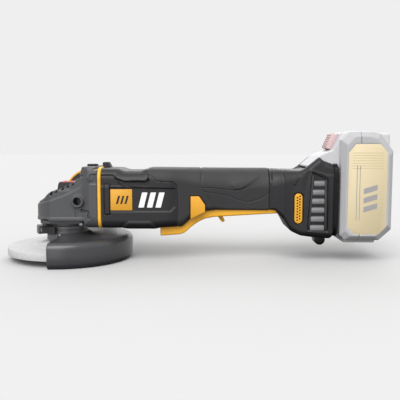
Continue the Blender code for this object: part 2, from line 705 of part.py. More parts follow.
def make_half(label, side):
    half = loft(f"housing_{label}", [housing_loop(x, side) for x in housing_stations()], "housing_black")
    low, high = sorted((side * SEAM, side * 7))
    outline = [(HOUSING_START, 86.8), (50.6, 86.8), (49.7, 88.3), (46, 94.6), (HOUSING_START, 94.6)]
    lug = prism(f"cut_lug_{label}", outline, "Y", low, high, None)
    boolean(half, lug, "UNION")
    for k, (x, z) in enumerate(BOSS_PLACES):
        reach = along(WIDTH_LINE, x) - skin_inset(x) - 1.4
        low, high = sorted((side * SEAM, side * reach))
        boolean(half, rod(f"cut_screw_post_{label}_{k}", 3.6, (x, low, z), (x, high, z), None, 10), "UNION")
    insert, vent, pill = side_tools(label, side)
    cut(half, insert, vent, pill)
    for k, (x, z) in enumerate(BOSS_PLACES):
        seat = along(WIDTH_LINE, x) - 7.0
        if side > 0:
            cut(half, rod(f"cut_post_hole_{label}_{k}", 1.9, (x, -5, z), (x, seat + 2, z), None, 10))
            cut(half, rod(f"cut_post_head_{label}_{k}", 3.2, (x, seat, z), (x, 45, z), None, 16))
        else:
            cut(half, rod(f"cut_post_hole_{label}_{k}", 1.9, (x, -11, z), (x, 5, z), None, 10))
    for k, z in enumerate(CASE_SCREW_HEIGHTS):
        y = side * CASE_SCREW_Y
        cut(half, rod(f"cut_front_hole_{label}_{k}", 2.3, (40, y, z), (53, y, z), None, 12))
    px, pz = PADDLE_PIVOT
    low, high = sorted((0, side * 21))
    cut(half, rod(f"cut_pin_hole_{label}", 2.3, (px, low, pz), (px, high, pz), None, 12))
    make_grip(label, side, insert)
    make_side_pieces(label, side)


def make_grip(label, side, insert):
    """Rubber skin over the grip: the housing is set back by its thickness."""
    stations = [GRIP_START + FIT, 125.4, 134.3, 139.7, 149, 161.1, 172, GRIP_END - FIT]
    loops = []
    for x in stations:
        outer = outer_path(x, side, 0)
        inner = outer_path(x, side, GRIP_SKIN - FIT)
        loops.append([(x, y, z) for y, z in outer[:-1] + inner[:-1][::-1]])
    cut(loft(f"grip_{label}", loops, "rubber_black"), insert)


def make_side_pieces(label, side):
    def plate(name, outline, near, far, finish):
        low, high = sorted((side * near, side * far))
        return prism(f"{name}_{label}", outline, "Y", low, high, finish)

    plate("side_insert", INSERT_OUTLINE, 24.9, 28.2, "yellow")
    pill = plate("air_inlet", pill_outline(0), 28.9, 32.2, "yellow")
    soften(pill, 0.5, 1)
    grille = plate("vent_grille", VENT_OUTLINE, 30.4, 33.2, "slat_grey")
    slats, pitch, gap, first = 6, 9.2, 3.4, 34.6
    for k in range(slats - 1):
        z = first + pitch * k
        low, high = sorted((side * 20, side * 40))
        slot = [(259.2, z - gap / 2), (273.0, z - gap / 2), (273.0, z + gap / 2), (259.2, z + gap / 2)]
        cut(grille, prism(f"cut_slot_{label}_{k}", slot, "Y", low, high, None))


def make_inside():
    tray = block("controller_module", (122, -16, 56), (162, 16, 74), "aluminium")
    soften(tray, 1.5, 1)
    switch = block("switch_block", (168, -9, 56), (200, 9, 72), "rubber_black")
    soften(switch, 1.0, 1)
    pack_plug = block("terminal_block", (262, -14, 44), (278.4, 14, 74), "rubber_black")
    soften(pack_plug, 1.0, 1)


def make_receiver():
    """Rail that the battery slides on, with the plate that closes the foot."""
    outline = rounded_box((-27.2, 24.2), (27.2, 84.8), 4, 2)
    plate = prism("battery_receiver", outline, "X", 279.0, 284.9, "rubber_black")
    rail = [
        (283, -11), (290.7, -11), (290.7, -15), (292.8, -15), (292.8, 15), (290.7, 15), (290.7, 11), (283, 11),
    ]
    boolean(plate, prism("cut_rail", rail, "Z", 30, 84, None), "UNION")


def make_bumper():
    outline = arc((273.4, 11.2), 5.7, 180, 360, 10)
    prism("rear_bumper", outline + [(279.1, 15.0), (267.7, 15.9)], "Y", -8, 8, "rubber_black")


# ---- paddle --------------------------------------------------------------------------------------


def make_paddle(pivot):
    def loop(x, solid):
        low, top = along(PADDLE_BOTTOM_LINE, x), along(PADDLE_TOP_LINE, x) + PADDLE_HIDDEN
        floor = top - 0.4 if solid else low + PADDLE_WALL
        half, inner = PADDLE_HALF, PADDLE_HALF - PADDLE_WALL
        path = [(-half, top), (-half, low + 1.2), (-half + 1.2, low), (half - 1.2, low), (half, low + 1.2)]
        path += [(half, top), (inner, top), (inner, floor), (-inner, floor), (-inner, top)]
        return [(x, y, z) for y, z in path]

    stations = [124, 128.8, 134.3, 135.6, 139.7, 142.4, 149, 159.2, 161.1, 207.5, 213, 214, PADDLE_END]
    loops = [loop(PADDLE_START, True), loop(PADDLE_FRONT_WALL, True), loop(PADDLE_FRONT_WALL + 0.1, False)]
    paddle = loft("paddle", loops + [loop(x, False) for x in stations], "yellow", pivot)
    x, z = PADDLE_PIVOT
    cut(paddle, rod("cut_paddle_bore", 2.3, (x, -30, z), (x, 30, z), None, 14))
    cut(paddle, block("cut_lock_slot", (160.3, -5.2, 30), (172.2, 5.2, 41.6), None))
    lx, lz = LOCK_OFF_PIVOT
    cut(paddle, rod("cut_lock_pin_hole", 1.4, (lx, -30, lz), (lx, 30, lz), None, 10))
    rod("lock_off_pin", 1.1, (lx, -17.4, lz), (lx, 17.4, lz), "steel", 10, pivot)
    coil("paddle_spring", (114, 0), 4.0, 0.6, 20.4, 32.6, 4, "steel")


def make_paddle_pin():
    x, z = PADDLE_PIVOT
    rod("paddle_pin", 2.0, (x, -20.6, z), (x, 20.6, z), "steel", 14)


def make_lock_off(pivot):
    lever = prism("lock_off_lever", LOCK_OFF_OUTLINE, "Y", -4.7, 4.7, "yellow", pivot)
    lx, lz = LOCK_OFF_PIVOT
    cut(lever, rod("cut_lever_bore", 1.4, (lx, -8, lz), (lx, 8, lz), None, 10))


# ---- guard ---------------------------------------------------------------------------------------


def swept(name, sections, start, end, steps, finish, pivot):
    """Section of (radius, height) points swept round Z from start to end degrees."""
    loops = []
    for i in range(steps + 1):
        a = math.radians(start + (end - start) * i / steps)
        loops.append([(r * math.cos(a), r * math.sin(a), z) for r, z in sections])
    return loft(name, loops, finish, pivot)


def make_guard(pivot):
    r, t = GUARD_R, GUARD_SHEET
    outside = [(22.2, 19.4), (27, 18.1), (40, GUARD_TOP + 0.2)]
    outside += arc((r - 5, GUARD_TOP - 5), 5, 84, 0, 4) + [(r, -3.6), (r - 0.8, -6.4), (r - 2.6, GUARD_LIP)]
    inside = [(r - 4.2, GUARD_LIP + 1.2), (r - 2.6, -5.4), (r - t, -3.0)]
    inside += arc((r - 5, GUARD_TOP - 5), 5 - t, 0, 84, 3)
    inside += [(40, GUARD_TOP + 0.2 - t), (27, 18.1 - t), (22.2, 19.4 - t)]
    swept("guard_shell", outside + inside, -GUARD_HALF_ANGLE, GUARD_HALF_ANGLE, 28, "guard_black", pivot)


def make_collar(pivot):
    """Split clamp band with an ear on each side of its split."""
    gap, ear = 3.0, 11.0
    start = CLAMP_ANGLE + gap
    end = CLAMP_ANGLE + 360 - gap
    angles = [start, start + ear / 2, start + ear, start + ear + 1]
    middle = 30
    angles += [start + ear + 1 + (end - start - 2 * ear - 2) * i / middle for i in range(1, middle)]
    angles += [end - ear - 1, end - ear, end - ear / 2, end]
    loops = []
    for angle in angles:
        a = math.radians(angle)
        reach = EAR_R if angle <= start + ear or angle >= end - ear else COLLAR_OUTER
        low = COLLAR_BOTTOM + (0.6 if reach == COLLAR_OUTER else 0)
        section = [(COLLAR_INNER, COLLAR_BOTTOM), (reach, low), (reach, COLLAR_TOP), (COLLAR_INNER, COLLAR_TOP)]
        loops.append([(r * math.cos(a), r * math.sin(a), z) for r, z in section])
    collar = loft("guard_collar", loops, "guard_black", pivot)
    a = math.radians(CLAMP_ANGLE)
    middle = Vector((26.3 * math.cos(a), 26.3 * math.sin(a), 23.2))
    across = Vector((-math.sin(a), math.cos(a), 0))

    def bar(name, radius, low, high, finish, host, steps):
        side, up = across.cross(Vector((0, 0, 1))), Vector((0, 0, 1))
        loops = []
        for reach in (low, high):
            centre = middle + across * reach
            turns = [2 * math.pi * i / steps for i in range(steps)]
            loops.append([tuple(centre + (side * math.cos(t) + up * math.sin(t)) * radius) for t in turns])
        return loft(name, loops, finish, host)

    cut(collar, bar("cut_clamp_bore", 1.9, -20, 20, None, None, 12))
    bar("clamp_screw", 1.6, -8.6, 6.6, "steel", pivot, 10)


def make_clamp_lever(pivot):
    """Lever that lies along the collar when it is closed."""
    low, high = 19.6, 27.0
    inner = arc((0, 0), COLLAR_OUTER + 0.5, 219.5, 252, 6)
    outer = arc((0, 0), COLLAR_OUTER + 4.0, 252, 227, 5)
    heel = arc((0, 0), LEVER_R + 1.8, 223, 219, 1)
    prism("guard_clamp_lever", inner + outer + heel, "Z", low, high, "rubber_black", pivot)


# ---- battery -------------------------------------------------------------------------------------


def main_block_outline():
    return [
        (BATTERY_FRONT, 20), (293, 14.6), (329, 14.6), (BATTERY_REAR, 26), (BATTERY_REAR, 107), (329, 124.4),
        (320, 126.6), (296, 126.6), (BATTERY_FRONT, 118),
    ]


def release_frame():
    """Unit vectors along the button and into the battery, in (x, z)."""
    along_it = (math.cos(BUTTON_SLOPE), math.sin(BUTTON_SLOPE))
    into = (math.sin(BUTTON_SLOPE), -math.cos(BUTTON_SLOPE))
    return along_it, into


def release_outline(length, out, deep):
    (ax, az), (ix, iz) = release_frame()
    cx, cz = RELEASE_CENTRE
    corners = ((-length / 2, -out), (length / 2, -out), (length / 2, deep), (-length / 2, deep))
    return [(cx + ax * s + ix * d, cz + az * s + iz * d) for s, d in corners]


def make_battery(pivot):
    hollow = [(295.4, 22), (335, 22), (338.6, 27), (338.6, 106.2), (328, 121), (295.4, 121)]
    cavity = prism("cut_pack_cavity", hollow, "Y", -34.2, 34.2, None)
    slot = [
        (280, -11.6), (290.3, -11.6), (290.3, -15.6), (293.2, -15.6), (293.2, 15.6), (290.3, 15.6), (290.3, 11.6),
        (280, 11.6),
    ]
    rail_slot = prism("cut_rail_slot", slot, "Z", 0, 86.6, None)
    room = release_outline(RELEASE_LENGTH + 0.8, 12, RELEASE_DEPTH + RELEASE_TRAVEL + 0.4)
    pocket = prism("cut_release_pocket", room, "Y", -RELEASE_HALF - 0.4, RELEASE_HALF + 0.4, None)
    ramp = [
        (256.4, 89.4), (294, 89.4), (294, 125.6), (290.5, 125.2), (281.6, 107.6), (272.4, 104.2), (268.0, 101.6),
        (255.8, 91.3),
    ]
    nose = prism("cut_nose", ramp, "Y", -23.8, 23.8, None)
    foot = block("cut_pack_foot", (294, -25, 11), (327, 25, 20.5), None)
    spine = block("cut_pack_spine", (328, -16, 110), (343.4, 16, 125.4), None)
    for name, low, high in (("battery_case", 200, BATTERY_SPLIT), ("battery_cover", BATTERY_SPLIT + FIT, 400)):
        shell = prism(name, main_block_outline(), "Y", -BATTERY_HALF, BATTERY_HALF, "battery_grey", pivot)
        soften(shell, 4.5, 2, 30)
        part = block(f"cut_{name}_side", (low, -60, -20), (high, 60, 200), None)
        if name == "battery_case":
            boolean(shell, nose, "UNION")
        else:
            boolean(shell, spine, "UNION")
        boolean(shell, foot, "UNION")
        cut(shell, cavity)
        if name == "battery_case":
            cut(shell, rail_slot, pocket)
        boolean(shell, part, "INTERSECT")
    make_cells(pivot)


def make_cells(pivot):
    """Ten round cells held together, two across and five up."""
    rows, x0, z0 = 5, 305.2, 32.0
    outline = []
    for k in range(rows):
        outline += arc((x0 + CELL_PITCH, z0 + k * CELL_PITCH), CELL_R + 0.2, -70, 70, 5)
    for k in reversed(range(rows)):
        outline += arc((x0, z0 + k * CELL_PITCH), CELL_R + 0.2, 110, 250, 5)
    prism("battery_cells", outline, "Y", -33, 33, "aluminium", pivot)


def make_release_button(pivot):
    outline = release_outline(RELEASE_LENGTH, 0, RELEASE_DEPTH)
    made = prism(
        "battery_release_button", outline, "Y", -RELEASE_HALF, RELEASE_HALF, "release_pink", pivot
    )
    soften(made, 0.8, 1)


# ---- side handle ---------------------------------------------------------------------------------


def make_side_handle():
    centre = (HANDLE_X, 0, HANDLE_Z)
    y, r = HANDLE_FLANGE_Y, HANDLE_FLANGE_R
    rod("handle_stud", 3.7, (HANDLE_X, 20.8, HANDLE_Z), (HANDLE_X, 70, HANDLE_Z), "steel", 20)
    core = [
        (4.1, BOSS_FACE + FIT), (9.5, BOSS_FACE + FIT), (11, 40), (13.5, y), (r - 2.2, y), (r - 2.2, y + 3.6),
        (15, y + 4.6), (11.6, HANDLE_GRIP_START), (11.6, HANDLE_GRIP_END + 0.3),
        (16.3, HANDLE_GRIP_END + 0.3),
        (16.3, 155), (13.8, HANDLE_END), (4.1, HANDLE_END),
    ]
    turned("handle_core", core, "housing_black", centre, "Y", 24)
    rim = [(r - 1.9, y - 0.2), (r - 0.5, y - 0.2), (r, y + 0.5), (r, y + 3.6), (r - 0.6, y + 4.2)]
    rim.append((r - 1.9, y + 4.2))
    turned("handle_rim", rim, "yellow", centre, "Y", 30)
    grip = [
        (11.9, HANDLE_GRIP_START + 0.4), (17.5, HANDLE_GRIP_START + 0.4), (18.2, 56), (15.8, 66), (15.2, 100),
        (16.2, 120), (15.4, 138), (17.5, 148), (16.8, HANDLE_GRIP_END), (11.9, HANDLE_GRIP_END),
    ]
    turned("handle_grip", grip, "rubber_black", centre, "Y", 24)


def clear_scene():
    for old in list(bpy.data.objects):
        bpy.data.objects.remove(old)


def main():
    clear_scene()
    spindle_axis = pivot_at("spindle_axis", 0, 0, 0)
    motor_axis = pivot_at("motor_axis", 0, 0, MOTOR_Z)
    guard_axis = pivot_at("guard_axis", 0, 0, COLLAR_BOTTOM)
    lever_x, lever_y = arc((0, 0), LEVER_R, LEVER_ANGLE, LEVER_ANGLE, 1)[0]
    lever_axis = pivot_at("lever_axis", lever_x, lever_y, COLLAR_BOTTOM)
    lock_axis = pivot_at("lock_axis", LOCK_X, 0, BUTTON_BOTTOM)
    paddle_axis = pivot_at("paddle_axis", PADDLE_PIVOT[0], 0, PADDLE_PIVOT[1])
    lock_off_axis = pivot_at("lock_off_axis", LOCK_OFF_PIVOT[0], 0, LOCK_OFF_PIVOT[1])
    battery_axis = pivot_at("battery_axis", BATTERY_FRONT, 0, 30)
    release_axis = pivot_at("release_axis", RELEASE_CENTRE[0], 0, RELEASE_CENTRE[1])

    make_gear_case()
    make_bearing_cap()
    make_case_screws()
    make_ring()
    make_spindle_lock()
    make_lock_button(lock_axis)
    make_hole_plug()

    make_spindle(spindle_axis)
    make_crown_gear(spindle_axis)
    make_disc(spindle_axis)
    make_bearing("spindle_bearing_lower", (0, 0, 24), "Z", 6.3, 14.0, 8)
    make_bearing("spindle_bearing_upper", (0, 0, 61.0), "Z", 4.3, 6.2, 3.6)

    make_rotor(motor_axis)
    make_bearing("motor_bearing_front", (33.5, 0, MOTOR_Z), "X", 4.3, 9.5, 7)
    make_bearing("motor_bearing_rear", (93.0, 0, MOTOR_Z), "X", 4.3, 9.5, 6)
    make_stator()

    make_half("left", -1)
    make_half("right", 1)
    make_inside()
    make_receiver()
    make_bumper()

    make_paddle(paddle_axis)
    make_paddle_pin()
    make_lock_off(lock_off_axis)
    make_guard(guard_axis)
    make_collar(guard_axis)
    make_clamp_lever(lever_axis)
    make_battery(battery_axis)
    make_release_button(release_axis)
    make_side_handle()


main()
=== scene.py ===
"""Looks of the cordless angle grinder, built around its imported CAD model.

Sizes are in millimetres in the model's own frame and are scaled by MM: origin at the spindle's
nose, +Z up the spindle, +X along the motor towards the battery, +Y towards the side handle.
"""
import math

import bmesh
import bpy
import numpy as np
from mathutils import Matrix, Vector


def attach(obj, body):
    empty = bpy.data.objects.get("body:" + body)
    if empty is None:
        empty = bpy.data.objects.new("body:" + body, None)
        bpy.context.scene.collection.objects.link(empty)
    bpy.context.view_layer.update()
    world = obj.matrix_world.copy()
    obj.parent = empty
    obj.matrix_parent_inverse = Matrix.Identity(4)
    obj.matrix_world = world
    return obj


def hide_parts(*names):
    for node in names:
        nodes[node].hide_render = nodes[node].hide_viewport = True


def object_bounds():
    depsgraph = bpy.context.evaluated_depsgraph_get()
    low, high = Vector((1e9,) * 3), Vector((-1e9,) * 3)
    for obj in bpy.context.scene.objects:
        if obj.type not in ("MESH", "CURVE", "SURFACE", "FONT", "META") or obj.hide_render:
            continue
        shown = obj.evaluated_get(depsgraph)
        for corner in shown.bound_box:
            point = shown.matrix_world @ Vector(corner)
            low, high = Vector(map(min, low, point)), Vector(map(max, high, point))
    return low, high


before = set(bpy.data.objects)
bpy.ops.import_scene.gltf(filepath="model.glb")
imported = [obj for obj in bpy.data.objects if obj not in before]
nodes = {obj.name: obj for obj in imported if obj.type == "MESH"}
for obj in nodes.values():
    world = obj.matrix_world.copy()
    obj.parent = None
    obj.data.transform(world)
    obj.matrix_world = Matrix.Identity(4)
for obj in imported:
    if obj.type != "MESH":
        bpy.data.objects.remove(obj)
cad_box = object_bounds()

MM = 0.001
SIDES = (("left", -1), ("right", 1))
MOTOR_Z = 56.3
HANDLE_X, HANDLE_Z = 17.7, 54.8
SEAM = 0.15  # half of the gap between the two housing halves
CLAMP_ANGLE = 202
CAP_SCREWS = [(x, y) for x in (-19.2, 19.2) for y in (-19.2, 19.2)]
LOCK_PIN_X = 9.2
PADDLE_PIVOT = (221.0, 47.5)
LOCK_OFF_PIVOT = (163.0, 41.3)
BUTTON_AT = (280.6, 117.8)
CAMERA_AT, CAMERA_DIP, CAMERA_LENS = (0.1442, -0.6, 0.11065), 0.095, 49.94  # metres, radians, mm

# Body lines, as (x, value)
TOP_LINE = (
    (42.6, 89), (60, 88.6), (66.5, 86.2), (84, 86.2), (89, 88.5), (216, 88.2), (241, 86.8), (250, 86.6),
    (256, 88.4), (285.2, 88.4),
)
CHEEK_LINE = TOP_LINE[:7] + (
    (247.6, 86.6), (252.2, 88.6), (267.4, 101), (270.9, 97), (281.7, 93), (285.2, 89.2),
)
BOTTOM_LINE = (
    (42.6, 26.4), (64, 26.4), (68, 25.6), (100, 25.6), (102, 26.4), (125.4, 27.6), (134.3, 35.9),
    (139.7, 40), (149, 43.8), (161.1, 45.3), (223, 44.9), (226.6, 41.1), (232.4, 34.5), (238.4, 23.3),
    (248.9, 18.5), (260.9, 16.9), (279.7, 15.3), (285.2, 21.7),
)
WIDTH_LINE = (
    (42.6, 32), (112, 32), (130, 28), (152, 26), (172, 23), (216, 22.5), (228, 24.5), (240, 30),
    (246, 32), (285.2, 32),
)
LOW_WIDTH_LINE = (
    (42.6, 31), (112, 31), (130, 27), (152, 24.5), (172, 21.3), (216, 21), (228, 23.5), (240, 28.5),
    (246, 30.5), (285.2, 30.5),
)
SHOULDER_LINE = (
    (42.6, 11), (112, 12), (150, 18), (172, 20), (216, 20), (240, 12), (250, 6.5), (285.2, 6.5),
)
NOTCH_START, NOTCH_END, NOTCH_HALF = 100.4, 227.7, 18.6
CEILING_LINE = (
    (100.4, 32.8), (125.4, 34.6), (134.3, 42.2), (139.7, 46.2), (149, 50.2), (161.1, 50.4), (207, 49.6),
    (213, 50), (214, 51.9), (227.7, 51.9),
)
CHEEK_INNER = 24.6

PADDLE_TOP = (
    (102.2, 25.5), (125.4, 27.1), (134.3, 35.3), (139.7, 39.4), (149, 43.2), (161.1, 44.7), (207.5, 44.0),
    (213, 44.2), (214, 48.8), (226.6, 48.8),
)
PADDLE_LOW = (
    (102.2, 16.9), (124, 18.6), (128.8, 20.7), (135.6, 27.2), (142.4, 31.8), (149, 35.1), (159.2, 37.1),
    (207.6, 39.9), (226.6, 40.9),
)

# Outlines in (x, z) on the sides of the body
GRIP_EDGE = [
    (90.5, 120), (90.5, 84.5), (95, 80.9), (98.8, 75.9), (116.4, 74.9), (120.5, 70.8), (121.1, 60),
    (121.1, 0), (216.6, 0), (216.6, 120),
]
PANEL = [(51.6, 44.3), (113.8, 44.3), (118.4, 49.2), (118.6, 68.2), (75, 69.2), (51.6, 69.2)]
UPPER_PAD = [(57.2, 79.8), (67.0, 75.2), (88.3, 75.2), (91.4, 79.8), (90.2, 84.2), (60.0, 84.2)]
UPPER_SHADE = [(58.5, 77.5), (65.6, 70.4), (90.2, 70.8), (92.6, 77.5), (88.3, 76.2), (67.0, 76.2)]
LOWER_PAD = [(63.2, 20), (63.2, 28.5), (69.0, 33.6), (92.5, 33.6), (98.0, 28.5), (98.0, 20)]
RING_FACET = [(42.0, 82.4), (55.0, 82.4), (63.6, 70.6), (42.0, 70.6)]
SIDE_RIB = [(45.8, 41.8), (51.2, 41.8), (51.2, 72.2), (45.8, 72.2)]
BADGE = [(52.0, 45.7), (74.3, 45.7), (74.3, 67.5), (52.0, 67.5)]
INSERT = [(134.5, 36.6), (149.4, 43.9), (149.4, 50.9), (143.2, 59.9), (134.5, 59.9)]
GRIP_SEAM = [(145.6, 92), (145.6, 69.6), (160.8, 45.0)]
UPPER_CONTOUR = [(147.0, 68.8), (162.3, 67.8), (180.3, 65.2), (188.9, 67.2), (206.7, 73.0), (212.8, 78.0)]
LOWER_CONTOUR = [
    (149.0, 64.4), (172.4, 60.5), (182.3, 56.6), (194.4, 52.9), (206.9, 56.5), (218.0, 63.5), (219.8, 84.0),
]
WEDGE = [(176.2, 72.2), (181.0, 74.9), (203.7, 81.0), (206.9, 79.2), (187.7, 66.9), (178.8, 66.6)]
VENT = [(255.1, 26.6), (276.0, 25.1), (275.4, 77.2), (259.4, 84.0)]
FOOT_CREASE = [(241.7, 72.8), (245.8, 81.5), (256.5, 87.2)]
FOOT_FACET = [
    (250.3, 27.0), (251.2, 43.8), (254.4, 69.2), (257.6, 87.6), (274, 82.6), (283, 82), (283, 19),
    (250.3, 21),
]
HOUSING_SCREWS = ((116, 75.5), (116, 42.5), (222, 70), (250.5, 74))
PILL_X, PILL_HALF, PILL_LOW, PILL_HIGH = 245.7, 4.0, 32.0, 63.1


# ---- numbers and outlines -------------------------------


def smooth_line(line, spread):
    """Value at x on a line of points whose corners are rounded over about spread."""
    step = 0.2
    low, high = line[0][0], line[-1][0]
    x = np.arange(low - 6 * spread, high + 6 * spread, step)
    value = np.interp(x, [p[0] for p in line], [p[1] for p in line])
    reach = np.arange(-3 * spread, 3 * spread + step, step)
    weight = np.exp(-0.5 * (reach / spread) ** 2)
    value = np.convolve(np.pad(value, len(reach) // 2, mode="edge"), weight / weight.sum(), mode="same")
    value = value[len(reach) // 2: len(reach) // 2 + len(x)]
    return lambda at: np.interp(at, x, value)


def arc(centre, radius, start, end, steps):
    """Points on an arc, angles in degrees, both ends included."""
    turn = [math.radians(start + (end - start) * i / steps) for i in range(steps + 1)]
    return [(centre[0] + radius * math.cos(a), centre[1] + radius * math.sin(a)) for a in turn]


def rounded(outline, radius, steps=5):
    """Outline with each corner replaced by an arc-like curve that starts radius before it."""
    made = []
    count = len(outline)
    for i, corner in enumerate(outline):
        p = Vector(corner)
        before, after = Vector(outline[i - 1]) - p, Vector(outline[(i + 1) % count]) - p
        near = min(radius, before.length * 0.48, after.length * 0.48)
        a, b = p + before.normalized() * near, p + after.normalized() * near
        for k in range(steps + 1):
            t = k / steps
            made.append(tuple(a * (1 - t) ** 2 + p * 2 * t * (1 - t) + b * t * t))
    return made


def edge_distance(outline, x, z, closed=True):
    """Distance to an outline's edges, and whether each point is inside it."""
    best = np.full(x.shape, 1e9)
    inside = np.zeros(x.shape, bool)
    pairs = list(zip(outline, outline[1:] + outline[:1] if closed else outline[1:]))
    for (x0, z0), (x1, z1) in pairs:
        dx, dz = x1 - x0, z1 - z0
        t = np.clip(((x - x0) * dx + (z - z0) * dz) / (dx * dx + dz * dz), 0, 1)
        best = np.minimum(best, np.hypot(x - x0 - t * dx, z - z0 - t * dz))
        if dz:
            crosses = ((z0 > z) != (z1 > z)) & (x < dx * (z - z0) / dz + x0)
            inside ^= crosses
    return best, inside


def plateau(outline, x, z, width):
    """1 inside an outline and 0 outside it, with a smooth flank of the given width."""
    far, inside = edge_distance(outline, x, z)
    t = np.clip(0.5 + np.where(inside, far, -far) / width, 0, 1)
    return t * t * (3 - 2 * t)


def groove(path, x, z, width, closed=False):
    """1 on a line and 0 beyond half the width to each side of it."""
    far, _ = edge_distance(path, x, z, closed)
    t = np.clip(1 - 2 * far / width, 0, 1)
    return t * t * (3 - 2 * t)


def box(u0, v0, u1, v1):
    """Corners of a rectangle."""
    return [(u0, v0), (u1, v0), (u1, v1), (u0, v1)]


def span(side, near, far):
    """Lower and upper y of what lies between two distances from the middle, on one side."""
    return sorted((side * near, side * far))


def polar(radius, angle):
    return radius * math.cos(angle), radius * math.sin(angle)


def grown(outline, amount):
    """Outline pushed outwards from its middle."""
    cx = sum(p[0] for p in outline) / len(outline)
    cz = sum(p[1] for p in outline) / len(outline)
    made = []
    for x, z in outline:
        far = math.hypot(x - cx, z - cz)
        made.append((x + (x - cx) / far * amount, z + (z - cz) / far * amount))
    return made


def pill_outline(grow):
    r = PILL_HALF + grow
    low, top = PILL_LOW + PILL_HALF, PILL_HIGH - PILL_HALF
    return arc((PILL_X, low), r, 180, 360, 12) + arc((PILL_X, top), r, 0, 180, 12)


# ---- materials ------------------------------------------


def feed(node, **inputs):
    """Set the named inputs of a node, with _ for a space: a socket is linked, anything else is a value."""
    for name, value in inputs.items():
        socket = node.inputs[name.replace("_", " ")]
        if isinstance(value, bpy.types.NodeSocket):
            node.id_data.links.new(value, socket)
        else:
            socket.default_value = value
    return node


def shader_node(tree, kind, setting=None, **inputs):
    """New node; setting is the name and the value of the property that decides its sockets."""
    made = tree.nodes.new("ShaderNode" + kind)
    if setting:
        setattr(made, *setting)
    return feed(made, **inputs)


def scaled(colour, factor):
    return (*[min(1, c * factor) for c in colour], 1)


def finish(name, colour, rough, metallic=0.0, grain=(2600, 0.12), mottle=0.12, edge_highlight=0.25, shine=0.5, cells=0):
    """Procedural surface: grain as bump, cloudy colour and roughness, and paler sharp edges as a painted edge
    highlight.
    """
    made = bpy.data.materials.new(name)
    made.use_nodes = True
    tree = made.node_tree
    place = shader_node(tree, "TexCoord").outputs["Object"]
    cloud = shader_node(tree, "TexNoise", Vector=place, Scale=90, Detail=6).outputs["Fac"]
    shade = shader_node(
        tree, "Mix", ("data_type", "RGBA"), Factor=cloud, A=scaled(colour, 1 - mottle),
        B=scaled(colour, 1 + mottle),
    )
    # convex edges turn paler: a painted highlight along sharp edges, broken up by the noise
    bend = shader_node(tree, "NewGeometry").outputs["Pointiness"]
    edge = shader_node(tree, "MapRange", Value=bend, From_Min=0.52, From_Max=0.62, To_Max=edge_highlight)
    edge_highlight_mask = shader_node(tree, "Math", ("operation", "MULTIPLY"))
    tree.links.new(edge.outputs["Result"], edge_highlight_mask.inputs[0])
    tree.links.new(cloud, edge_highlight_mask.inputs[1])
    edge_lit = shader_node(
        tree, "Mix", ("data_type", "RGBA"), Factor=edge_highlight_mask.outputs["Value"], A=shade.outputs["Result"],
        B=(*[min(1, 0.22 + c) for c in colour], 1),
    )
    gloss = shader_node(tree, "MapRange", Value=cloud, To_Min=rough - 0.05, To_Max=rough + 0.07)
    if cells:
        height = shader_node(tree, "TexVoronoi", Vector=place, Scale=cells).outputs["Distance"]
    else:
        height = shader_node(tree, "TexNoise", Vector=place, Scale=grain[0], Detail=3).outputs["Fac"]
    bump = shader_node(tree, "Bump", Strength=grain[1], Distance=0.0003, Height=height)
    feed(
        tree.nodes["Principled BSDF"], Base_Color=edge_lit.outputs["Result"], Roughness=gloss.outputs["Result"],
        Metallic=metallic, Specular_IOR_Level=shine, Normal=bump.outputs["Normal"],
    )
    made.diffuse_color = (*colour, 1)
    return made


def speckled(name, colour, dark, scale, rough):
    """Pressed abrasive: pale grit with darker grains between."""
    made = finish(name, colour, rough, grain=(1500, 0.6), mottle=0.05, edge_highlight=0.0)
    tree = made.node_tree
    shader = tree.nodes["Principled BSDF"]
    place = shader_node(tree, "TexCoord").outputs["Object"]
    grit = shader_node(tree, "TexNoise", Vector=place, Scale=scale, Detail=4).outputs["Fac"]
    ramp = shader_node(tree, "MapRange", Value=grit, From_Min=0.42, From_Max=0.62)
    blend = shader_node(
        tree, "Mix", ("data_type", "RGBA"), Factor=ramp.outputs["Result"], A=(*dark, 1),
        B=shader.inputs["Base Color"].links[0].from_socket,
    )
    feed(shader, Base_Color=blend.outputs["Result"])
    return made


def turned_metal(name, colour, rough, axis):
    """Machined metal with fine rings about an axis."""
    made = finish(name, colour, rough, 1.0, grain=(900, 0.06), mottle=0.06, edge_highlight=0.1)
    tree = made.node_tree
    place = shader_node(tree, "TexCoord").outputs["Object"]
    rings = shader_node(tree, "TexWave", ("wave_type", "RINGS"), Vector=place, Scale=900, Distortion=0.6)
    rings.rings_direction = axis
    feed(next(n for n in tree.nodes if n.type == "BUMP"), Height=rings.outputs["Fac"])
    return made


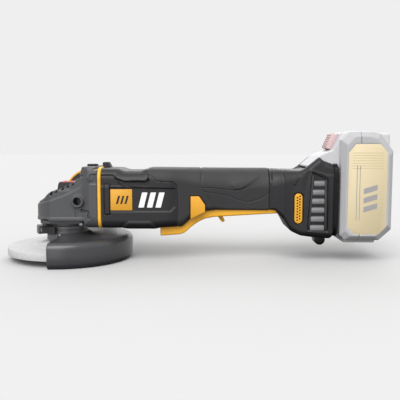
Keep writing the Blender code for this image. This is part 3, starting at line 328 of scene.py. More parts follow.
FINISHES = {  # name, colour, roughness, metallic, grain (scale, strength), mottle, edge highlight (painted), shine, cells
    "case": ("cast_case", (0.062, 0.063, 0.067), 0.42, 0.0, (1400, 0.22), 0.10, 0.5),
    "housing": ("moulded_housing", (0.016, 0.015, 0.017), 0.42, 0.0, (3200, 0.16), 0.10, 0.35, 0.38),
    # recess: the own near-black of the top lug and badge marks, and painted shade inside the inlet holes and
    # behind the vent slats
    "recess": ("moulded_recess", (0.010, 0.010, 0.011), 0.6, 0.0, (3000, 0.15), 0.08, 0.1, 0.3),
    "grip": ("soft_grip", (0.033, 0.033, 0.035), 0.55, 0.0, (1800, 0.3), 0.08, 0.2, 0.32, 1500),
    "rubber": ("black_rubber", (0.017, 0.017, 0.018), 0.6, 0.0, (2200, 0.2), 0.1, 0.2, 0.35),
    "gloss": ("gloss_black", (0.003, 0.003, 0.0035), 0.3, 0.0, (1500, 0.03), 0.05, 0.0, 0.25),
    "yellow": ("yellow_plastic", (0.76, 0.36, 0.024), 0.42, 0.0, (3000, 0.1), 0.04, 0.1, 0.4),
    # paddle: the yellow plastic painted brighter, as painted light that offsets the shade under the body
    "paddle": ("yellow_paddle", (0.95, 0.47, 0.032), 0.42, 0.0, (3000, 0.1), 0.04, 0.1, 0.4),
    "ring": ("yellow_ring", (0.88, 0.46, 0.035), 0.38, 0.0, (3000, 0.08), 0.03, 0.1),
    "badge": ("yellow_badge", (0.74, 0.36, 0.03), 0.5, 0.0, (1600, 0.06), 0.03, 0.0),
    "white": ("white_ink", (0.86, 0.86, 0.86), 0.5, 0.0, (1600, 0.05), 0.02, 0.0),
    "guard": ("black_guard", (0.050, 0.050, 0.054), 0.29, 0.15, (1100, 0.10), 0.1, 0.45, 0.7),
    "slat": ("grey_slat", (0.17, 0.17, 0.18), 0.45, 0.0, (3000, 0.1), 0.06, 0.2),
    "pack": ("pale_pack", (0.54, 0.54, 0.555), 0.5, 0.0, (2600, 0.16), 0.04, 0.1),
    "pack_edge": ("pale_pack_edge", (0.42, 0.42, 0.43), 0.5, 0.0, (2600, 0.16), 0.04, 0.1),
    "label": ("pack_label", (0.67, 0.565, 0.36), 0.5, 0.0, (1500, 0.06), 0.02, 0.0),
    "label_line": ("pack_label_line", (0.61, 0.50, 0.30), 0.5, 0.0, (1500, 0.06), 0.02, 0.0),
    "ink": ("grey_ink", (0.33, 0.32, 0.32), 0.5, 0.0, (1500, 0.06), 0.02, 0.0),
    "release": ("pink_button", (0.58, 0.42, 0.42), 0.5, 0.0, (2600, 0.14), 0.05, 0.1),
    "red": ("red_button", (0.50, 0.09, 0.08), 0.4, 0.0, (2600, 0.1), 0.05, 0.2),
    "screw": ("blackened_screw", (0.10, 0.10, 0.105), 0.32, 0.9, (1500, 0.1), 0.1, 0.5),
    "bright": ("bright_screw", (0.62, 0.62, 0.63), 0.28, 1.0, (1500, 0.08), 0.06, 0.2),
    "dark_steel": ("dark_steel", (0.12, 0.12, 0.125), 0.36, 0.9, (1200, 0.14), 0.12, 0.5),
    "aluminium": ("plain_aluminium", (0.66, 0.66, 0.67), 0.38, 1.0, (1300, 0.1), 0.06, 0.2),
    "copper": ("copper_winding", (0.70, 0.31, 0.13), 0.36, 0.9, (700, 0.5), 0.12, 0.2),
    "floor": ("studio_floor", (0.56, 0.56, 0.56), 1.0, 0.0, (200, 0.0), 0.0, 0.0, 0.0),
}
SKIN = {key: finish(*values) for key, values in FINISHES.items()}
SKIN["disc_face"] = speckled("disc_face", (0.56, 0.56, 0.56), (0.46, 0.46, 0.46), 900, 0.85)
SKIN["disc_grit"] = speckled("disc_grit", (0.66, 0.66, 0.66), (0.46, 0.46, 0.46), 1400, 0.95)
SKIN["steel"] = turned_metal("turned_steel", (0.56, 0.56, 0.57), 0.28, "Z")
SKIN["steel_x"] = turned_metal("turned_steel_x", (0.56, 0.56, 0.57), 0.28, "X")


# ---- building -------------------------------------------


def settle(mesh, angle=35):
    """Faces outwards, smooth shading, sharp edges kept."""
    shape = bmesh.new()
    shape.from_mesh(mesh)
    bmesh.ops.recalc_face_normals(shape, faces=shape.faces)
    shape.to_mesh(mesh)
    shape.free()
    mesh.shade_smooth()
    mesh.set_sharp_from_angle(angle=math.radians(angle))


def add_piece(name, points, faces, skin=None, angle=35):
    """Object from points in millimetres."""
    mesh = bpy.data.meshes.new(name)
    mesh.from_pydata((np.asarray(points, float) * MM).tolist(), [], [tuple(f) for f in faces])
    settle(mesh, angle)
    made = bpy.data.objects.new(name, mesh)
    bpy.context.scene.collection.objects.link(made)
    if skin:
        mesh.materials.append(SKIN[skin])
    return made


def loft(name, sections, skin=None, capped=True, angle=35):
    """Skin through closed loops of equal length; uncapped, the last loop joins the first."""
    count, rings = len(sections[0]), len(sections)
    points = [p for section in sections for p in section]
    faces = []
    for k in range(rings - 1 if capped else rings):
        a, b = k * count, ((k + 1) % rings) * count
        faces += [(a + i, a + (i + 1) % count, b + (i + 1) % count, b + i) for i in range(count)]
    if capped:
        faces += [tuple(range(count))[::-1], tuple((rings - 1) * count + i for i in range(count))]
    return add_piece(name, points, faces, skin, angle)


def prism(name, outline, axis, low, high, skin=None, angle=35):
    place = {
        "X": lambda u, v, w: (w, u, v),
        "Y": lambda u, v, w: (u, w, v),
        "Z": lambda u, v, w: (u, v, w),
    }[axis]
    return loft(name, [[place(u, v, w) for u, v in outline] for w in (low, high)], skin, angle=angle)


def turned(name, profile, skin=None, centre=(0, 0, 0), axis="Z", steps=96, angle=35):
    """Closed profile of (radius, height) points turned about an axis; radius 0 ends make a solid."""
    cx, cy, cz = centre
    place = {
        "X": lambda r, a, h: (cx + h, cy + r * math.cos(a), cz + r * math.sin(a)),
        "Y": lambda r, a, h: (cx + r * math.cos(a), cy + h, cz + r * math.sin(a)),
        "Z": lambda r, a, h: (cx + r * math.cos(a), cy + r * math.sin(a), cz + h),
    }[axis]
    turns = [2 * math.pi * i / steps for i in range(steps)]
    if profile[0][0] > 0:
        return loft(name, [[place(r, a, h) for r, h in profile] for a in turns], skin, False, angle)
    middle = profile[1:-1]
    rings = [[place(r, a, h) for a in turns] for r, h in middle]
    points = [p for ring in rings for p in ring]
    faces = []
    for k in range(len(rings) - 1):
        a = k * steps
        b = a + steps
        faces += [(a + i, b + i, b + (i + 1) % steps, a + (i + 1) % steps) for i in range(steps)]
    faces += [tuple(range(steps)), tuple((len(rings) - 1) * steps + i for i in range(steps))[::-1]]
    return add_piece(name, points, faces, skin, angle)


def block(name, low, high, skin=None):
    return prism(name, box(low[0], low[1], high[0], high[1]), "Z", low[2], high[2], skin)


def rod(name, radius, start, axis, length, skin=None, steps=32):
    return turned(name, [(0, 0), (radius, 0), (radius, length), (0, length)], skin, start, axis, steps)


def bake(made, angle=35):
    """Replace an object's mesh by what its modifiers give."""
    graph = bpy.context.evaluated_depsgraph_get()
    mesh = bpy.data.meshes.new_from_object(made.evaluated_get(graph))
    made.modifiers.clear()
    made.data = mesh
    settle(mesh, angle)
    return made


def carve(made, tools, operation="DIFFERENCE", angle=35):
    """Cut tools from an object, or join them to it, and drop the tools."""
    for tool in tools:
        step = made.modifiers.new("carve", "BOOLEAN")
        step.operation = operation
        step.object = tool
        step.solver = "EXACT"
        weld = made.modifiers.new("weld", "WELD")
        weld.merge_threshold = 0.01 * MM
    bake(made, angle)
    for tool in tools:
        bpy.data.objects.remove(tool)
    return made


def joined(pieces):
    """One object that holds the meshes of several, which are dropped."""
    shape = bmesh.new()
    for piece in pieces:
        shape.from_mesh(piece.data)
    first = pieces[0]
    shape.to_mesh(first.data)
    shape.free()
    for piece in pieces[1:]:
        bpy.data.objects.remove(piece)
    return first


def bevelled(made, width, segments=3, limit=30):
    step = made.modifiers.new("bevel", "BEVEL")
    step.width = width * MM
    step.segments = segments
    step.limit_method = "ANGLE"
    step.angle_limit = math.radians(limit)
    step.harden_normals = False
    return bake(made, 40)


def cast(made, voxel, passes, angle=60):
    """Rounded casting: voxel remesh followed by smoothing."""
    remesh = made.modifiers.new("remesh", "REMESH")
    remesh.mode = "VOXEL"
    remesh.voxel_size = voxel * MM
    relax = made.modifiers.new("relax", "SMOOTH")
    relax.factor = 0.5
    relax.iterations = passes
    return bake(made, angle)


def moved(made, change):
    """Move every point of a mesh: change takes and gives an array of points in millimetres."""
    mesh = made.data
    flat = np.empty(len(mesh.vertices) * 3)
    mesh.vertices.foreach_get("co", flat)
    points = change(flat.reshape(-1, 3) / MM)
    mesh.vertices.foreach_set("co", (points * MM).ravel())
    mesh.update()
    return made


def grid_shell(name, outer, inner, keep, skin, angle=38):
    """Closed shell over the kept cells of two matching grids of points."""
    columns, rows = outer.shape[:2]
    index = np.arange(columns * rows).reshape(columns, rows)
    quads = np.stack([index[:-1, :-1], index[1:, :-1], index[1:, 1:], index[:-1, 1:]], -1)[keep]
    count = columns * rows
    edges = np.concatenate([quads[:, [i, (i + 1) % 4]] for i in range(4)])
    key = edges.min(1) * count + edges.max(1)
    _, first, times = np.unique(key, return_index=True, return_counts=True)
    rim = edges[first[times == 1]]
    rim = np.stack([rim[:, 1], rim[:, 0], rim[:, 0] + count, rim[:, 1] + count], -1)
    faces = np.concatenate([quads, quads[:, ::-1] + count, rim])
    used, flat = np.unique(faces, return_inverse=True)
    points = np.concatenate([outer.reshape(-1, 3), inner.reshape(-1, 3)])[used]
    return add_piece(name, points, flat.reshape(-1, 4).tolist(), skin, angle)


def second_skin(made, skin, chosen):
    """Give another material to the faces whose centre, in millimetres, and normal pass a test."""
    made.data.materials.append(SKIN[skin])
    for face in made.data.polygons:
        if chosen(face.center / MM, face.normal):
            face.material_index = 1


def keep_on(body, made, *replaced, slot=None):
    """Piece rides on a body and stands for CAD nodes; slot is not used."""
    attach(made, body)
    if replaced:
        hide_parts(*replaced)
    return made


def screw(name, centre, axis, radius, depth, body, skin="screw", slot="dark_steel", turn=1):
    """Round screw head with a six-lobed socket; turn -1 faces it the other way."""
    lip = radius * 0.16
    edge = [(radius, -depth), (radius, -lip), (radius - lip * 0.4, -lip * 0.3), (radius - lip, 0)]
    shape = [(r, h * turn) for r, h in [(0, -depth)] + edge + [(0, 0)]]
    head = turned(name, shape, skin, centre, axis, 32)
    along = "XYZ".index(axis)
    u, v = [c for k, c in enumerate(centre) if k != along]
    reach = radius * 0.52
    star = []
    for k in range(36):
        a = 2 * math.pi * k / 36
        du, dv = polar(reach * (0.84 + 0.16 * math.cos(6 * a)), a)
        star.append((u + du, v + dv))
    low, high = sorted((-depth * 0.6 * turn, 1.0 * turn))
    carve(head, [prism("socket", star, axis, centre[along] + low, centre[along] + high)])
    return keep_on(body, head, slot=slot)


# ---- motor housing and grip -----------------------------


def body_columns():
    """Places of the sections along x: close together where the relief is fine."""
    spans = (
        (42.6, 100.2, 0.6), (100.3, 121.0, 0.6), (121.2, 216.6, 0.8), (217.2, 227.6, 0.7),
        (227.8, 285.2, 0.6),
    )
    return np.concatenate([np.linspace(a, b, int((b - a) / step) + 1) for a, b, step in spans])


def body_grid(side):
    """Outer surface of one half as a grid of points, its outward normals and an inner surface."""
    x = body_columns()
    top, cheek = smooth_line(TOP_LINE, 1.6)(x), smooth_line(CHEEK_LINE, 1.0)(x)
    low, half = smooth_line(BOTTOM_LINE, 1.2)(x), smooth_line(WIDTH_LINE, 4.0)(x)
    low_half, r = smooth_line(LOW_WIDTH_LINE, 4.0)(x), smooth_line(SHOULDER_LINE, 3.0)(x)
    cheek = np.maximum(cheek, top)
    in_notch = (x > NOTCH_START) & (x < NOTCH_END)
    ceiling = np.where(in_notch, np.interp(x, *zip(*CEILING_LINE)), low)
    rb = np.minimum(np.where(x < NOTCH_END, 9.0, 6.0), low_half - NOTCH_HALF - 0.6)
    step = np.minimum(CHEEK_INNER, half - r - 1.2)
    parts, lean = [], []

    def run(start, end, count, normal):
        for t in np.linspace(0, 1, count, endpoint=False):
            parts.append((start[0] * (1 - t) + end[0] * t, start[1] * (1 - t) + end[1] * t))
            lean.append(normal)

    def bend(cy, cz, radius, first, last, count):
        for a in np.radians(np.linspace(first, last, count, endpoint=False)):
            parts.append((cy + radius * math.cos(a), cz + radius * math.sin(a)))
            lean.append((math.cos(a), math.sin(a)))

    seam, notch = np.full(x.shape, SEAM), np.full(x.shape, NOTCH_HALF)
    run((seam, top), (step, top), 16, (0, 1))
    run((step, top), (step + 0.9, cheek), 6, (0, 1))
    run((step + 0.9, cheek), (half - r, cheek), 4, (0, 1))
    bend(half - r, cheek - r, r, 90, 0, 22)
    run((half, cheek - r), (low_half, low + rb), 96, (1, 0))
    bend(low_half - rb, low + rb, rb, 0, -90, 10)
    run((low_half - rb, low), (notch, low), 4, (0, -1))
    run((notch, low), (notch - 0.4, ceiling), 6, (0, -1))
    run((notch - 0.4, ceiling), (seam, ceiling), 8, (0, -1))
    parts.append((seam, ceiling))
    lean.append((0, -1))
    y = np.stack([p[0] for p in parts], 1)
    z = np.stack([p[1] for p in parts], 1)
    xs = np.repeat(x[:, None], y.shape[1], 1)
    ny = np.array([n[0] for n in lean])[None, :] * np.ones_like(y)
    nz = np.array([n[1] for n in lean])[None, :] * np.ones_like(y)
    middle = ((top + low) / 2)[:, None]
    wall = 1.5
    inner_y = y * (1 - wall / half[:, None])
    inner_z = middle + (z - middle) * (1 - 2 * wall / (top - low)[:, None])
    lift = body_relief(xs, z, ny)
    outer = np.stack([xs, side * (y + ny * lift), z + nz * lift], -1)
    inner = np.stack([xs, side * inner_y, inner_z], -1)
    return outer, inner


def body_relief(x, z, ny):
    """Height of the moulded relief over the plain housing, in millimetres."""
    flank = np.clip((ny - 0.15) / 0.35, 0, 1)
    lift = -1.0 * plateau(PANEL, x, z, 1.4)
    lift += -1.2 * plateau(RING_FACET, x, z, 1.4)
    lift += 1.1 * plateau(SIDE_RIB, x, z, 1.3) - 0.7 * groove(grown(SIDE_RIB, 0.8), x, z, 1.6, True)
    ramp = np.clip((85.0 - z) / 9.5, 0, 1)
    lift += 2.4 * ramp * plateau(UPPER_PAD, x, z, 0.8)
    lift += -1.3 * plateau(UPPER_SHADE, x, z, 1.0)
    lift += 0.9 * plateau(LOWER_PAD, x, z, 1.2) - 0.6 * groove(LOWER_PAD[1:3], x, z, 3.0)
    lift += 0.9 * plateau(WEDGE, x, z, 2.2) - 0.35 * groove(WEDGE, x, z, 0.9, True)
    lift += -0.45 * groove(UPPER_CONTOUR, x, z, 1.3) - 0.45 * groove(LOWER_CONTOUR, x, z, 1.3)
    lift += -1.2 * plateau(pill_outline(0.9), x, z, 0.9)
    lift += -1.4 * plateau(grown(INSERT, 0.8), x, z, 0.9)
    lift += 0.55 * plateau(FOOT_FACET, x, z, 2.6)
    lift += 0.55 * groove(grown(VENT, 3.2), x, z, 2.0, True) - 3.0 * plateau(grown(VENT, 0.5), x, z, 0.9)
    lift += 0.5 * groove(FOOT_CREASE, x, z, 3.5)
    lift *= flank
    over = plateau(GRIP_EDGE, x, z, 0.8)
    lift += 0.35 * over - 0.75 * groove(GRIP_EDGE, x, z, 1.5, True)
    high = np.clip((z - 72) / 14, 0, 1)
    lift -= (0.5 + 1.0 * high) * groove(GRIP_SEAM, x, z, 1.6)
    for place, depth in ((216.6, 0.5), (219.4, 0.3), (231.6, 0.6)):
        lift -= depth * (0.4 + high) * np.clip(1 - np.abs(x - place) / 0.9, 0, 1)
    return lift


def make_body(label, side):
    outer, inner = body_grid(side)
    middle = (outer[:-1, :-1] + outer[1:, 1:]) / 2
    _, in_grip = edge_distance(GRIP_EDGE, middle[..., 0], middle[..., 2])
    housing = grid_shell(f"housing_shell_{label}", outer, inner, ~in_grip, "housing")
    grip = grid_shell(f"grip_skin_{label}", outer, inner, in_grip, "grip")
    lug_outline = rounded([(40.4, 86.5), (51.6, 86.5), (49.2, 88.6), (46.2, 94.6), (40.4, 94.6)], 0.8, 3)
    lug = bevelled(prism(f"top_lug_{label}", lug_outline, "Y", *span(side, SEAM, 7), "recess"), 0.6, 2)
    keep_on("body", housing, f"housing_{label}", slot="housing_black")
    keep_on("body", grip, f"grip_{label}", slot="rubber_black")
    keep_on("body", lug, slot="housing_black")


def make_housing_screws():
    """Screws that join the halves, driven in from the right."""
    half = smooth_line(WIDTH_LINE, 4.0)
    profile = [(3.2, -1.0), (3.2, 0.35), (3.5, 0.55), (4.1, 0.55), (4.5, 0.2), (4.6, -1.0)]
    for k, (x, z) in enumerate(HOUSING_SCREWS):
        face = float(half(x))
        well = turned(f"screw_well_{k + 1}", profile, "housing", (x, face, z), "Y", 48)
        keep_on("body", well, slot="housing_black")
        screw(f"housing_screw_{k + 1}", (x, face + 0.15, z), "Y", 3.0, 1.2, "body")


def make_edge_strip():
    """Glossy seal round the open end of the foot."""
    path = [
        (24.9, 92.0), (28.5, 91.2), (31.2, 88.6), (32.2, 84.5), (32.2, 60), (31.7, 26.5), (30.6, 22.6),
        (27.5, 20.3),
    ]
    section = [
        (281.6, 0.0), (282.2, 0.75), (283.6, 1.0), (284.9, 0.6), (285.5, -0.4), (285.5, -1.8), (281.6, -1.8),
    ]
    points = []
    for a, b in zip(path, path[1:]):
        points += [tuple(Vector(a).lerp(Vector(b), t / 6)) for t in range(6)]
    points.append(path[-1])
    for label, side in SIDES:
        loops = []
        for i, (y, z) in enumerate(points):
            ahead = Vector(points[min(i + 1, len(points) - 1)]) - Vector(points[max(i - 1, 0)])
            out = Vector((-ahead.y, ahead.x)).normalized() * -1
            loops.append([(x, side * (y + out.x * h), z + out.y * h) for x, h in section])
        strip = loft(f"foot_seal_{label}", loops, "gloss", angle=50)
        keep_on("body", strip, slot="rubber_black")


def plate(name, outline, side, near, far, skin):
    """Flat piece on one side of the body, between two distances from the middle."""
    return prism(name, outline, "Y", *span(side, near, far), skin)


def make_insert(label, side):
    insert = bevelled(plate(f"insert_{label}", rounded(INSERT, 0.6, 3), side, 24.9, 28.6, "yellow"), 0.5, 3)
    keep_on("body", insert, f"side_insert_{label}", slot="yellow")


def make_air_inlet(label, side):
    """Pill-shaped inlet with two staggered columns of holes; their walls and the floor behind them take the
    near-black skin as painted shade.
    """
    pill = bevelled(plate(f"inlet_{label}", pill_outline(0), side, 28.9, 32.0, "yellow"), 0.7, 3)
    holes = []
    for k in range(9):
        for column in range(2):
            x = PILL_X - 1.3 + 2.6 * column
            z = PILL_LOW + 3.6 + 2.9 * k + 1.45 * column
            if z <= PILL_HIGH - 2.6:
                holes.append(rod("hole", 0.9, (x, span(side, 30.6, 34)[0], z), "Y", 3.4, steps=12))
    carve(pill, [joined(holes)])

    def in_shaded_hole(centre, _normal):
        sunk = abs(centre.y) < 31.4
        return sunk and abs(centre.x - PILL_X) < 2.6 and PILL_LOW + 2 < centre.z < PILL_HIGH - 2

    # hole walls and the floor behind them are darkened: painted shade inside the holes
    second_skin(pill, "recess", in_shaded_hole)
    keep_on("body", pill, f"air_inlet_{label}", slot="yellow")


def make_vent(label, side):
    """Opening with six slats between two rails, in front of a near-black back plate that is painted shade for
    the hollow behind the slats.
    """
    # near-black plate: painted shade where the housing is open behind the slats
    back = plate(f"vent_back_{label}", VENT, side, 28.6, 29.3, "recess")
    keep_on("body", back, f"vent_grille_{label}", slot="slat_grey")
    for k in range(6):
        z = 73.4 - 9.2 * k
        left = 261.3 if k == 0 else 260.6 - 0.55 * k
        section = [
            (29.2, z - 3.6), (31.0, z - 3.2), (31.9, z - 2.2), (32.2, z), (31.7, z + 1.9), (30.6, z + 2.7),
            (29.2, z + 2.9),
        ]
        outline = [(side * y, h) for y, h in section]
        slat = prism(f"vent_slat_{label}_{k + 1}", outline, "X", left, 272.3, "slat")
        keep_on("body", bevelled(slat, 0.45, 2), slot="slat_grey")
    front = [(255.9, 27.2), (258.2, 27.2), (261.6, 80.8), (259.4, 82.6)]
    rear = [(272.6, 26.6), (275.2, 26.4), (274.8, 76.6), (272.6, 77.6)]
    for name, outline in (("rail_front", front), ("rail_back", rear)):
        bar = bevelled(plate(f"vent_{name}_{label}", outline, side, 29.2, 31.6, "housing"), 0.5, 2)
        keep_on("body", bar, slot="slat_grey")


def slanted(x, z, width, height, lean):
    """Bar whose top stands to the right of its foot by lean."""
    return [(x, z), (x + width, z), (x + width + lean, z + height), (x + lean, z + height)]


def make_marks(label, side):
    """Plain badge with three slanted lines, and three slanted stripes beside it."""
    badge = bevelled(plate(f"badge_{label}", rounded(BADGE, 0.5, 2), side, 30.6, 31.45, "badge"), 0.2, 2)
    keep_on("body", badge, slot="yellow")
    for k in range(3):
        mark = slanted(57.6 + 4.4 * k, 52.4, 2.0, 8.4, 2.4)
        bar = plate(f"badge_mark_{label}_{k + 1}", mark, side, 31.3, 31.55, "recess")
        keep_on("body", bar, slot="housing_black")
    for k in range(3):
        mark = rounded(slanted(80.6 + 8.8 * k, 48.6, 5.6, 15.6, 4.0), 0.5, 2)
        bar = plate(f"stripe_{label}_{k + 1}", mark, side, 30.6, 31.3, "white")
        keep_on("body", bar, slot="housing_black")


# ---- gear head ------------------------------------------

CASE_END = 38.4
CASE_SCREW_HEIGHTS = (32.0, 80.5)
CASE_PROFILE = [
    (-30.8, 34.1), (24.2, 34.1), (24.4, 29.6), (27, 26.6), (CASE_END, 26.6), (CASE_END, 87), (34.6, 87),
    (34.4, 90.4), (22.4, 90.4), (21, 86), (18.7, 78.7), (15.4, 77.4), (13, 65.9), (-9.1, 65.9), (-14.7, 62.2),
    (-19.7, 57.3), (-26.9, 53.5), (-29.5, 49.2),
]
CHEEK_PROFILE = [
    (-14.0, 56), (-12.6, 62.2), (-7.0, 65.2), (2.5, 69.6), (12.6, 74.4), (17.4, 76.2), (19.4, 79), (24, 79),
    (24, 56),
]
CASE_SLOPE = [
    (-30.5, 51.0), (-21.0, 52.7), (-13.7, 54.7), (1.6, 60.0), (12.0, 64.6), (20.3, 69.3), (25.7, 75.9),
]
CASE_UPPER = CASE_SLOPE + [(27.8, 84), (27.8, 100), (-40, 100), (-40, 51)]
CASE_BAND = box(-40, 30, 24.4, 37.6)
CASE_WINDOW = box(30.6, 72.8, 37.6, 82.8)
CASE_HOOK = [(20.6, 46.4), (29.2, 44.6), (30.4, 36.4), (28.2, 36.4), (27.2, 42.4), (20.6, 43.4)]
CASE_SEAM = [(14.8, 48.6), (15.0, 37.8)]


def case_relief(points):
    """Points of the cast head, moved out or in by the relief on its cheeks and its round nose."""
    x, y, z = points.T
    lift = 0.5 * plateau(CASE_BAND, x, z, 0.9) - 1.1 * plateau(CASE_UPPER, x, z, 1.6)
    lift -= 1.0 * plateau(CASE_WINDOW, x, z, 1.2) + 2.2 * plateau(CASE_HOOK, x, z, 0.9)
    lift -= 0.7 * groove(CASE_SEAM, x, z, 1.3)
    reach = np.hypot(x, y)
    cheek = np.clip((np.abs(y) - 17) / 4, 0, 1) * (x > 0)
    nose = np.clip((reach - 26.5) / 2, 0, 1) * (x <= 0)
    near_boss = (np.abs(x - HANDLE_X) < 7) & (np.abs(z - HANDLE_Z) < 7)
    lift *= np.maximum(cheek, nose) * ~near_boss
    far = np.maximum(reach, 1)
    out = np.stack([np.where(x <= 0, x / far, 0), np.where(x <= 0, y / far, np.sign(y))], 1)
    made = points.copy()
    made[:, :2] += out * lift[:, None]
    return made


def case_tools():
    """What is cut out of the cast head: gear room, holes, counterbores and the gaps between its ribs."""
    cavity = [(0, 30), (24.5, 30), (24.5, 51.6), (14, 58.8), (6.5, 58.8), (6.5, 63.4), (0, 63.4)]
    tools = [
        turned("cavity", cavity, steps=72), rod("pinion", 7.6, (12, 0, MOTOR_Z), "X", 19),
        rod("seat", 9.8, (29.6, 0, MOTOR_Z), "X", 16), rod("plug", 4.0, (28.5, 0, 80), "Z", 20),
        rod("pin", 1.95, (LOCK_PIN_X, 0, 57), "Z", 13),
    ]
    for _, side in SIDES:
        tools.append(rod("socket", 4.0, (HANDLE_X, span(side, 20.2, 40)[0], HANDLE_Z), "Y", 19.8))
        for z in CASE_SCREW_HEIGHTS:
            tools.append(rod("counterbore", 3.7, (-40, side * 25, z), "X", 67.2))
        for k in range(5):
            x, z = -9.4 + 5.4 * k, 66.6 + 2.55 * k
            rib = [(x - 2.4, z - 6.4), (x - 0.6, z - 6.4), (x + 2.8, z + 5), (x + 0.6, z + 5)]
            tools.append(prism("rib", rib, "Y", *span(side, 13.5, 32)))
    for x, y in CAP_SCREWS:
        tools.append(rod("cap_hole", 2.2, (x, y, 28), "Z", 16))
    return tools


def make_gear_case():
    """Cast head: side profile, plan and end view meet in one body."""
    case = prism("gear_case_shell", CASE_PROFILE, "Y", -34, 34, "case")
    plan_side = [(CASE_END, 31.5), (30, 31.5), (22, 28.5)]
    plan = plan_side + arc((0, 0), 30.8, 112, 248, 48) + [(x, -y) for x, y in reversed(plan_side)]
    ends = rounded(box(-31.5, 26.3, 31.5, 95), 13, 12)
    carve(case, [prism("cheek", CHEEK_PROFILE, "Y", *span(side, 9.9, 21.5)) for _, side in SIDES], "UNION")
    carve(case, [prism("plan", plan, "Z", 0, 100), prism("ends", ends, "X", -40, 60)], "INTERSECT")
    bosses = [rod("boss", 6.25, (HANDLE_X, span(side, 20, 33)[0], HANDLE_Z), "Y", 13) for _, side in SIDES]
    for _, side in SIDES:
        bosses.append(rod("lug", 3.6, (31.5, span(side, 20, 31.9)[0], 79.5), "Y", 11.9))
        bosses += [rod("foot", 4.2, (x, y, 30.6), "Z", 6) for x, y in CAP_SCREWS if y * side > 0]
    carve(case, bosses, "UNION")
    carve(case, case_tools())
    moved(cast(case, 0.5, 3), case_relief)
    keep_on("body", case, "gear_case", slot="case_grey")


def make_case_screws():
    """Four screws from the motor's side and four of the bearing cap."""
    number = 0
    for label, side in SIDES:
        for level, z in zip(("low", "high"), CASE_SCREW_HEIGHTS):
            number += 1
            name = f"case_screw_{label}_{level}"
            head = screw(name, (24.1, side * 25.0, z), "X", 3.2, 2.8, "body", turn=-1)
            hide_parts(f"gear_case_screw_{number}")
    for x, y in CAP_SCREWS:
        name = f"cap_screw_{'rear' if x > 0 else 'front'}_{'right' if y > 0 else 'left'}"
        screw(name, (x, y, 28.2), "Z", 3.1, 2.6, "body", "bright" if x > 0 else "screw", turn=-1)


def make_bearing_cap():
    profile = [
        (8.6, 18.3), (19.2, 18.3), (19.6, 18.7), (19.6, 27.8), (21.0, 27.8), (21.4, 28.2), (21.4, 33.8),
        (24.1, 33.8), (24.1, 37.0), (16, 37.0), (14.3, 35), (14.3, 19.8), (8.6, 19.8),
    ]
    cap = turned("bearing_cap_shell", profile, "case")
    outline = rounded(box(-23.6, -23.6, 23.6, 23.6), 7, 8)
    flange = prism("flange", outline, "Z", 30.8, 33.8)
    carve(flange, [rod("core", 20.5, (0, 0, 29), "Z", 6, steps=64)])
    ribs = []
    for k in range(12):
        x, y = polar(21.3, math.radians(15 + 30 * k))
        ribs.append(rod("rib", 0.8, (x, y, 28), "Z", 3.4, steps=12))
    carve(cap, [flange] + ribs, "UNION")
    carve(cap, [rod("hole", 2.3, (x, y, 25), "Z", 15) for x, y in CAP_SCREWS])
    cast(cap, 0.4, 2)
    keep_on("body", cap, "bearing_cap", slot="case_grey")


def make_ring():
    def loop(x, grow):
        outline = box(-32.9 - grow, 26.2 - grow, 32.9 + grow, 90 + grow)
        return [(x, u, v) for u, v in rounded(outline, 13 + grow, 12)]

    bow = [(38.75, -0.9), (39.0, -0.35), (39.6, 0.0), (40.5, 0.15), (41.3, 0.0), (41.9, -0.35), (42.15, -0.9)]
    loops = [loop(x, g) for x, g in bow] + [loop(42.15, -3.2), loop(38.75, -3.2)]
    keep_on("body", loft("accent_ring", loops, "ring", capped=False, angle=45), "case_ring", slot="yellow")


def make_spindle_lock():
    stages = (  # height, front and rear end, half width, corner radius
        (65.6, -8.6, 13.2, 9.4, 3), (70, -8.0, 13, 9.2, 3), (72.9, -7.0, 12.8, 8.8, 2.8),
        (73.4, -6.5, 12.3, 8.3, 2.6),
    )
    loops = []
    for z, front, rear, half, corner in stages:
        loops.append([(x, y, z) for x, y in rounded(box(front, -half, rear, half), corner, 6)])
    tower = loft("lock_tower", loops, "rubber", angle=50)
    well = prism("well", rounded(box(-4.9, -7.1, 11.1, 7.1), 2, 5), "Z", 68.4, 80)
    carve(tower, [well, rod("bore", 1.95, (LOCK_PIN_X, 0, 60), "Z", 20)])
    keep_on("body", tower, "spindle_lock_tower", slot="rubber_black")
    outline = rounded(box(-4.5, -6.7, 10.7, 6.7), 1.9, 6)
    cap = bevelled(prism("lock_button", outline, "Z", 71.8, 74.0, "red"), 0.55, 3)
    keep_on("spindle_lock", cap, "spindle_lock_button", slot="button_red")
    for k in range(4):
        x = -1.6 + 3.2 * k
        rib = block(f"lock_button_rib_{k + 1}", (x - 0.5, -4.6, 73.9), (x + 0.5, 4.6, 74.4), "red")
        keep_on("spindle_lock", bevelled(rib, 0.22, 2), slot="button_red")


def make_plug():
    profile = [
        (0, 84), (3.7, 84), (3.7, 90.6), (5.4, 90.6), (5.9, 90.9), (6.0, 91.6), (5.8, 92.4), (5.2, 92.7),
        (2.6, 92.7), (2.3, 92.3), (0, 92.3),
    ]
    plug = turned("hole_plug", profile, "rubber", (28.5, 0, 0), steps=48, angle=45)
    carve(plug, [block("slot", (28.0, -2.0, 91.7), (29.0, 2.0, 93))])
    keep_on("body", plug, "handle_hole_plug", slot="rubber_black")


# ---- guard and disc -------------------------------------


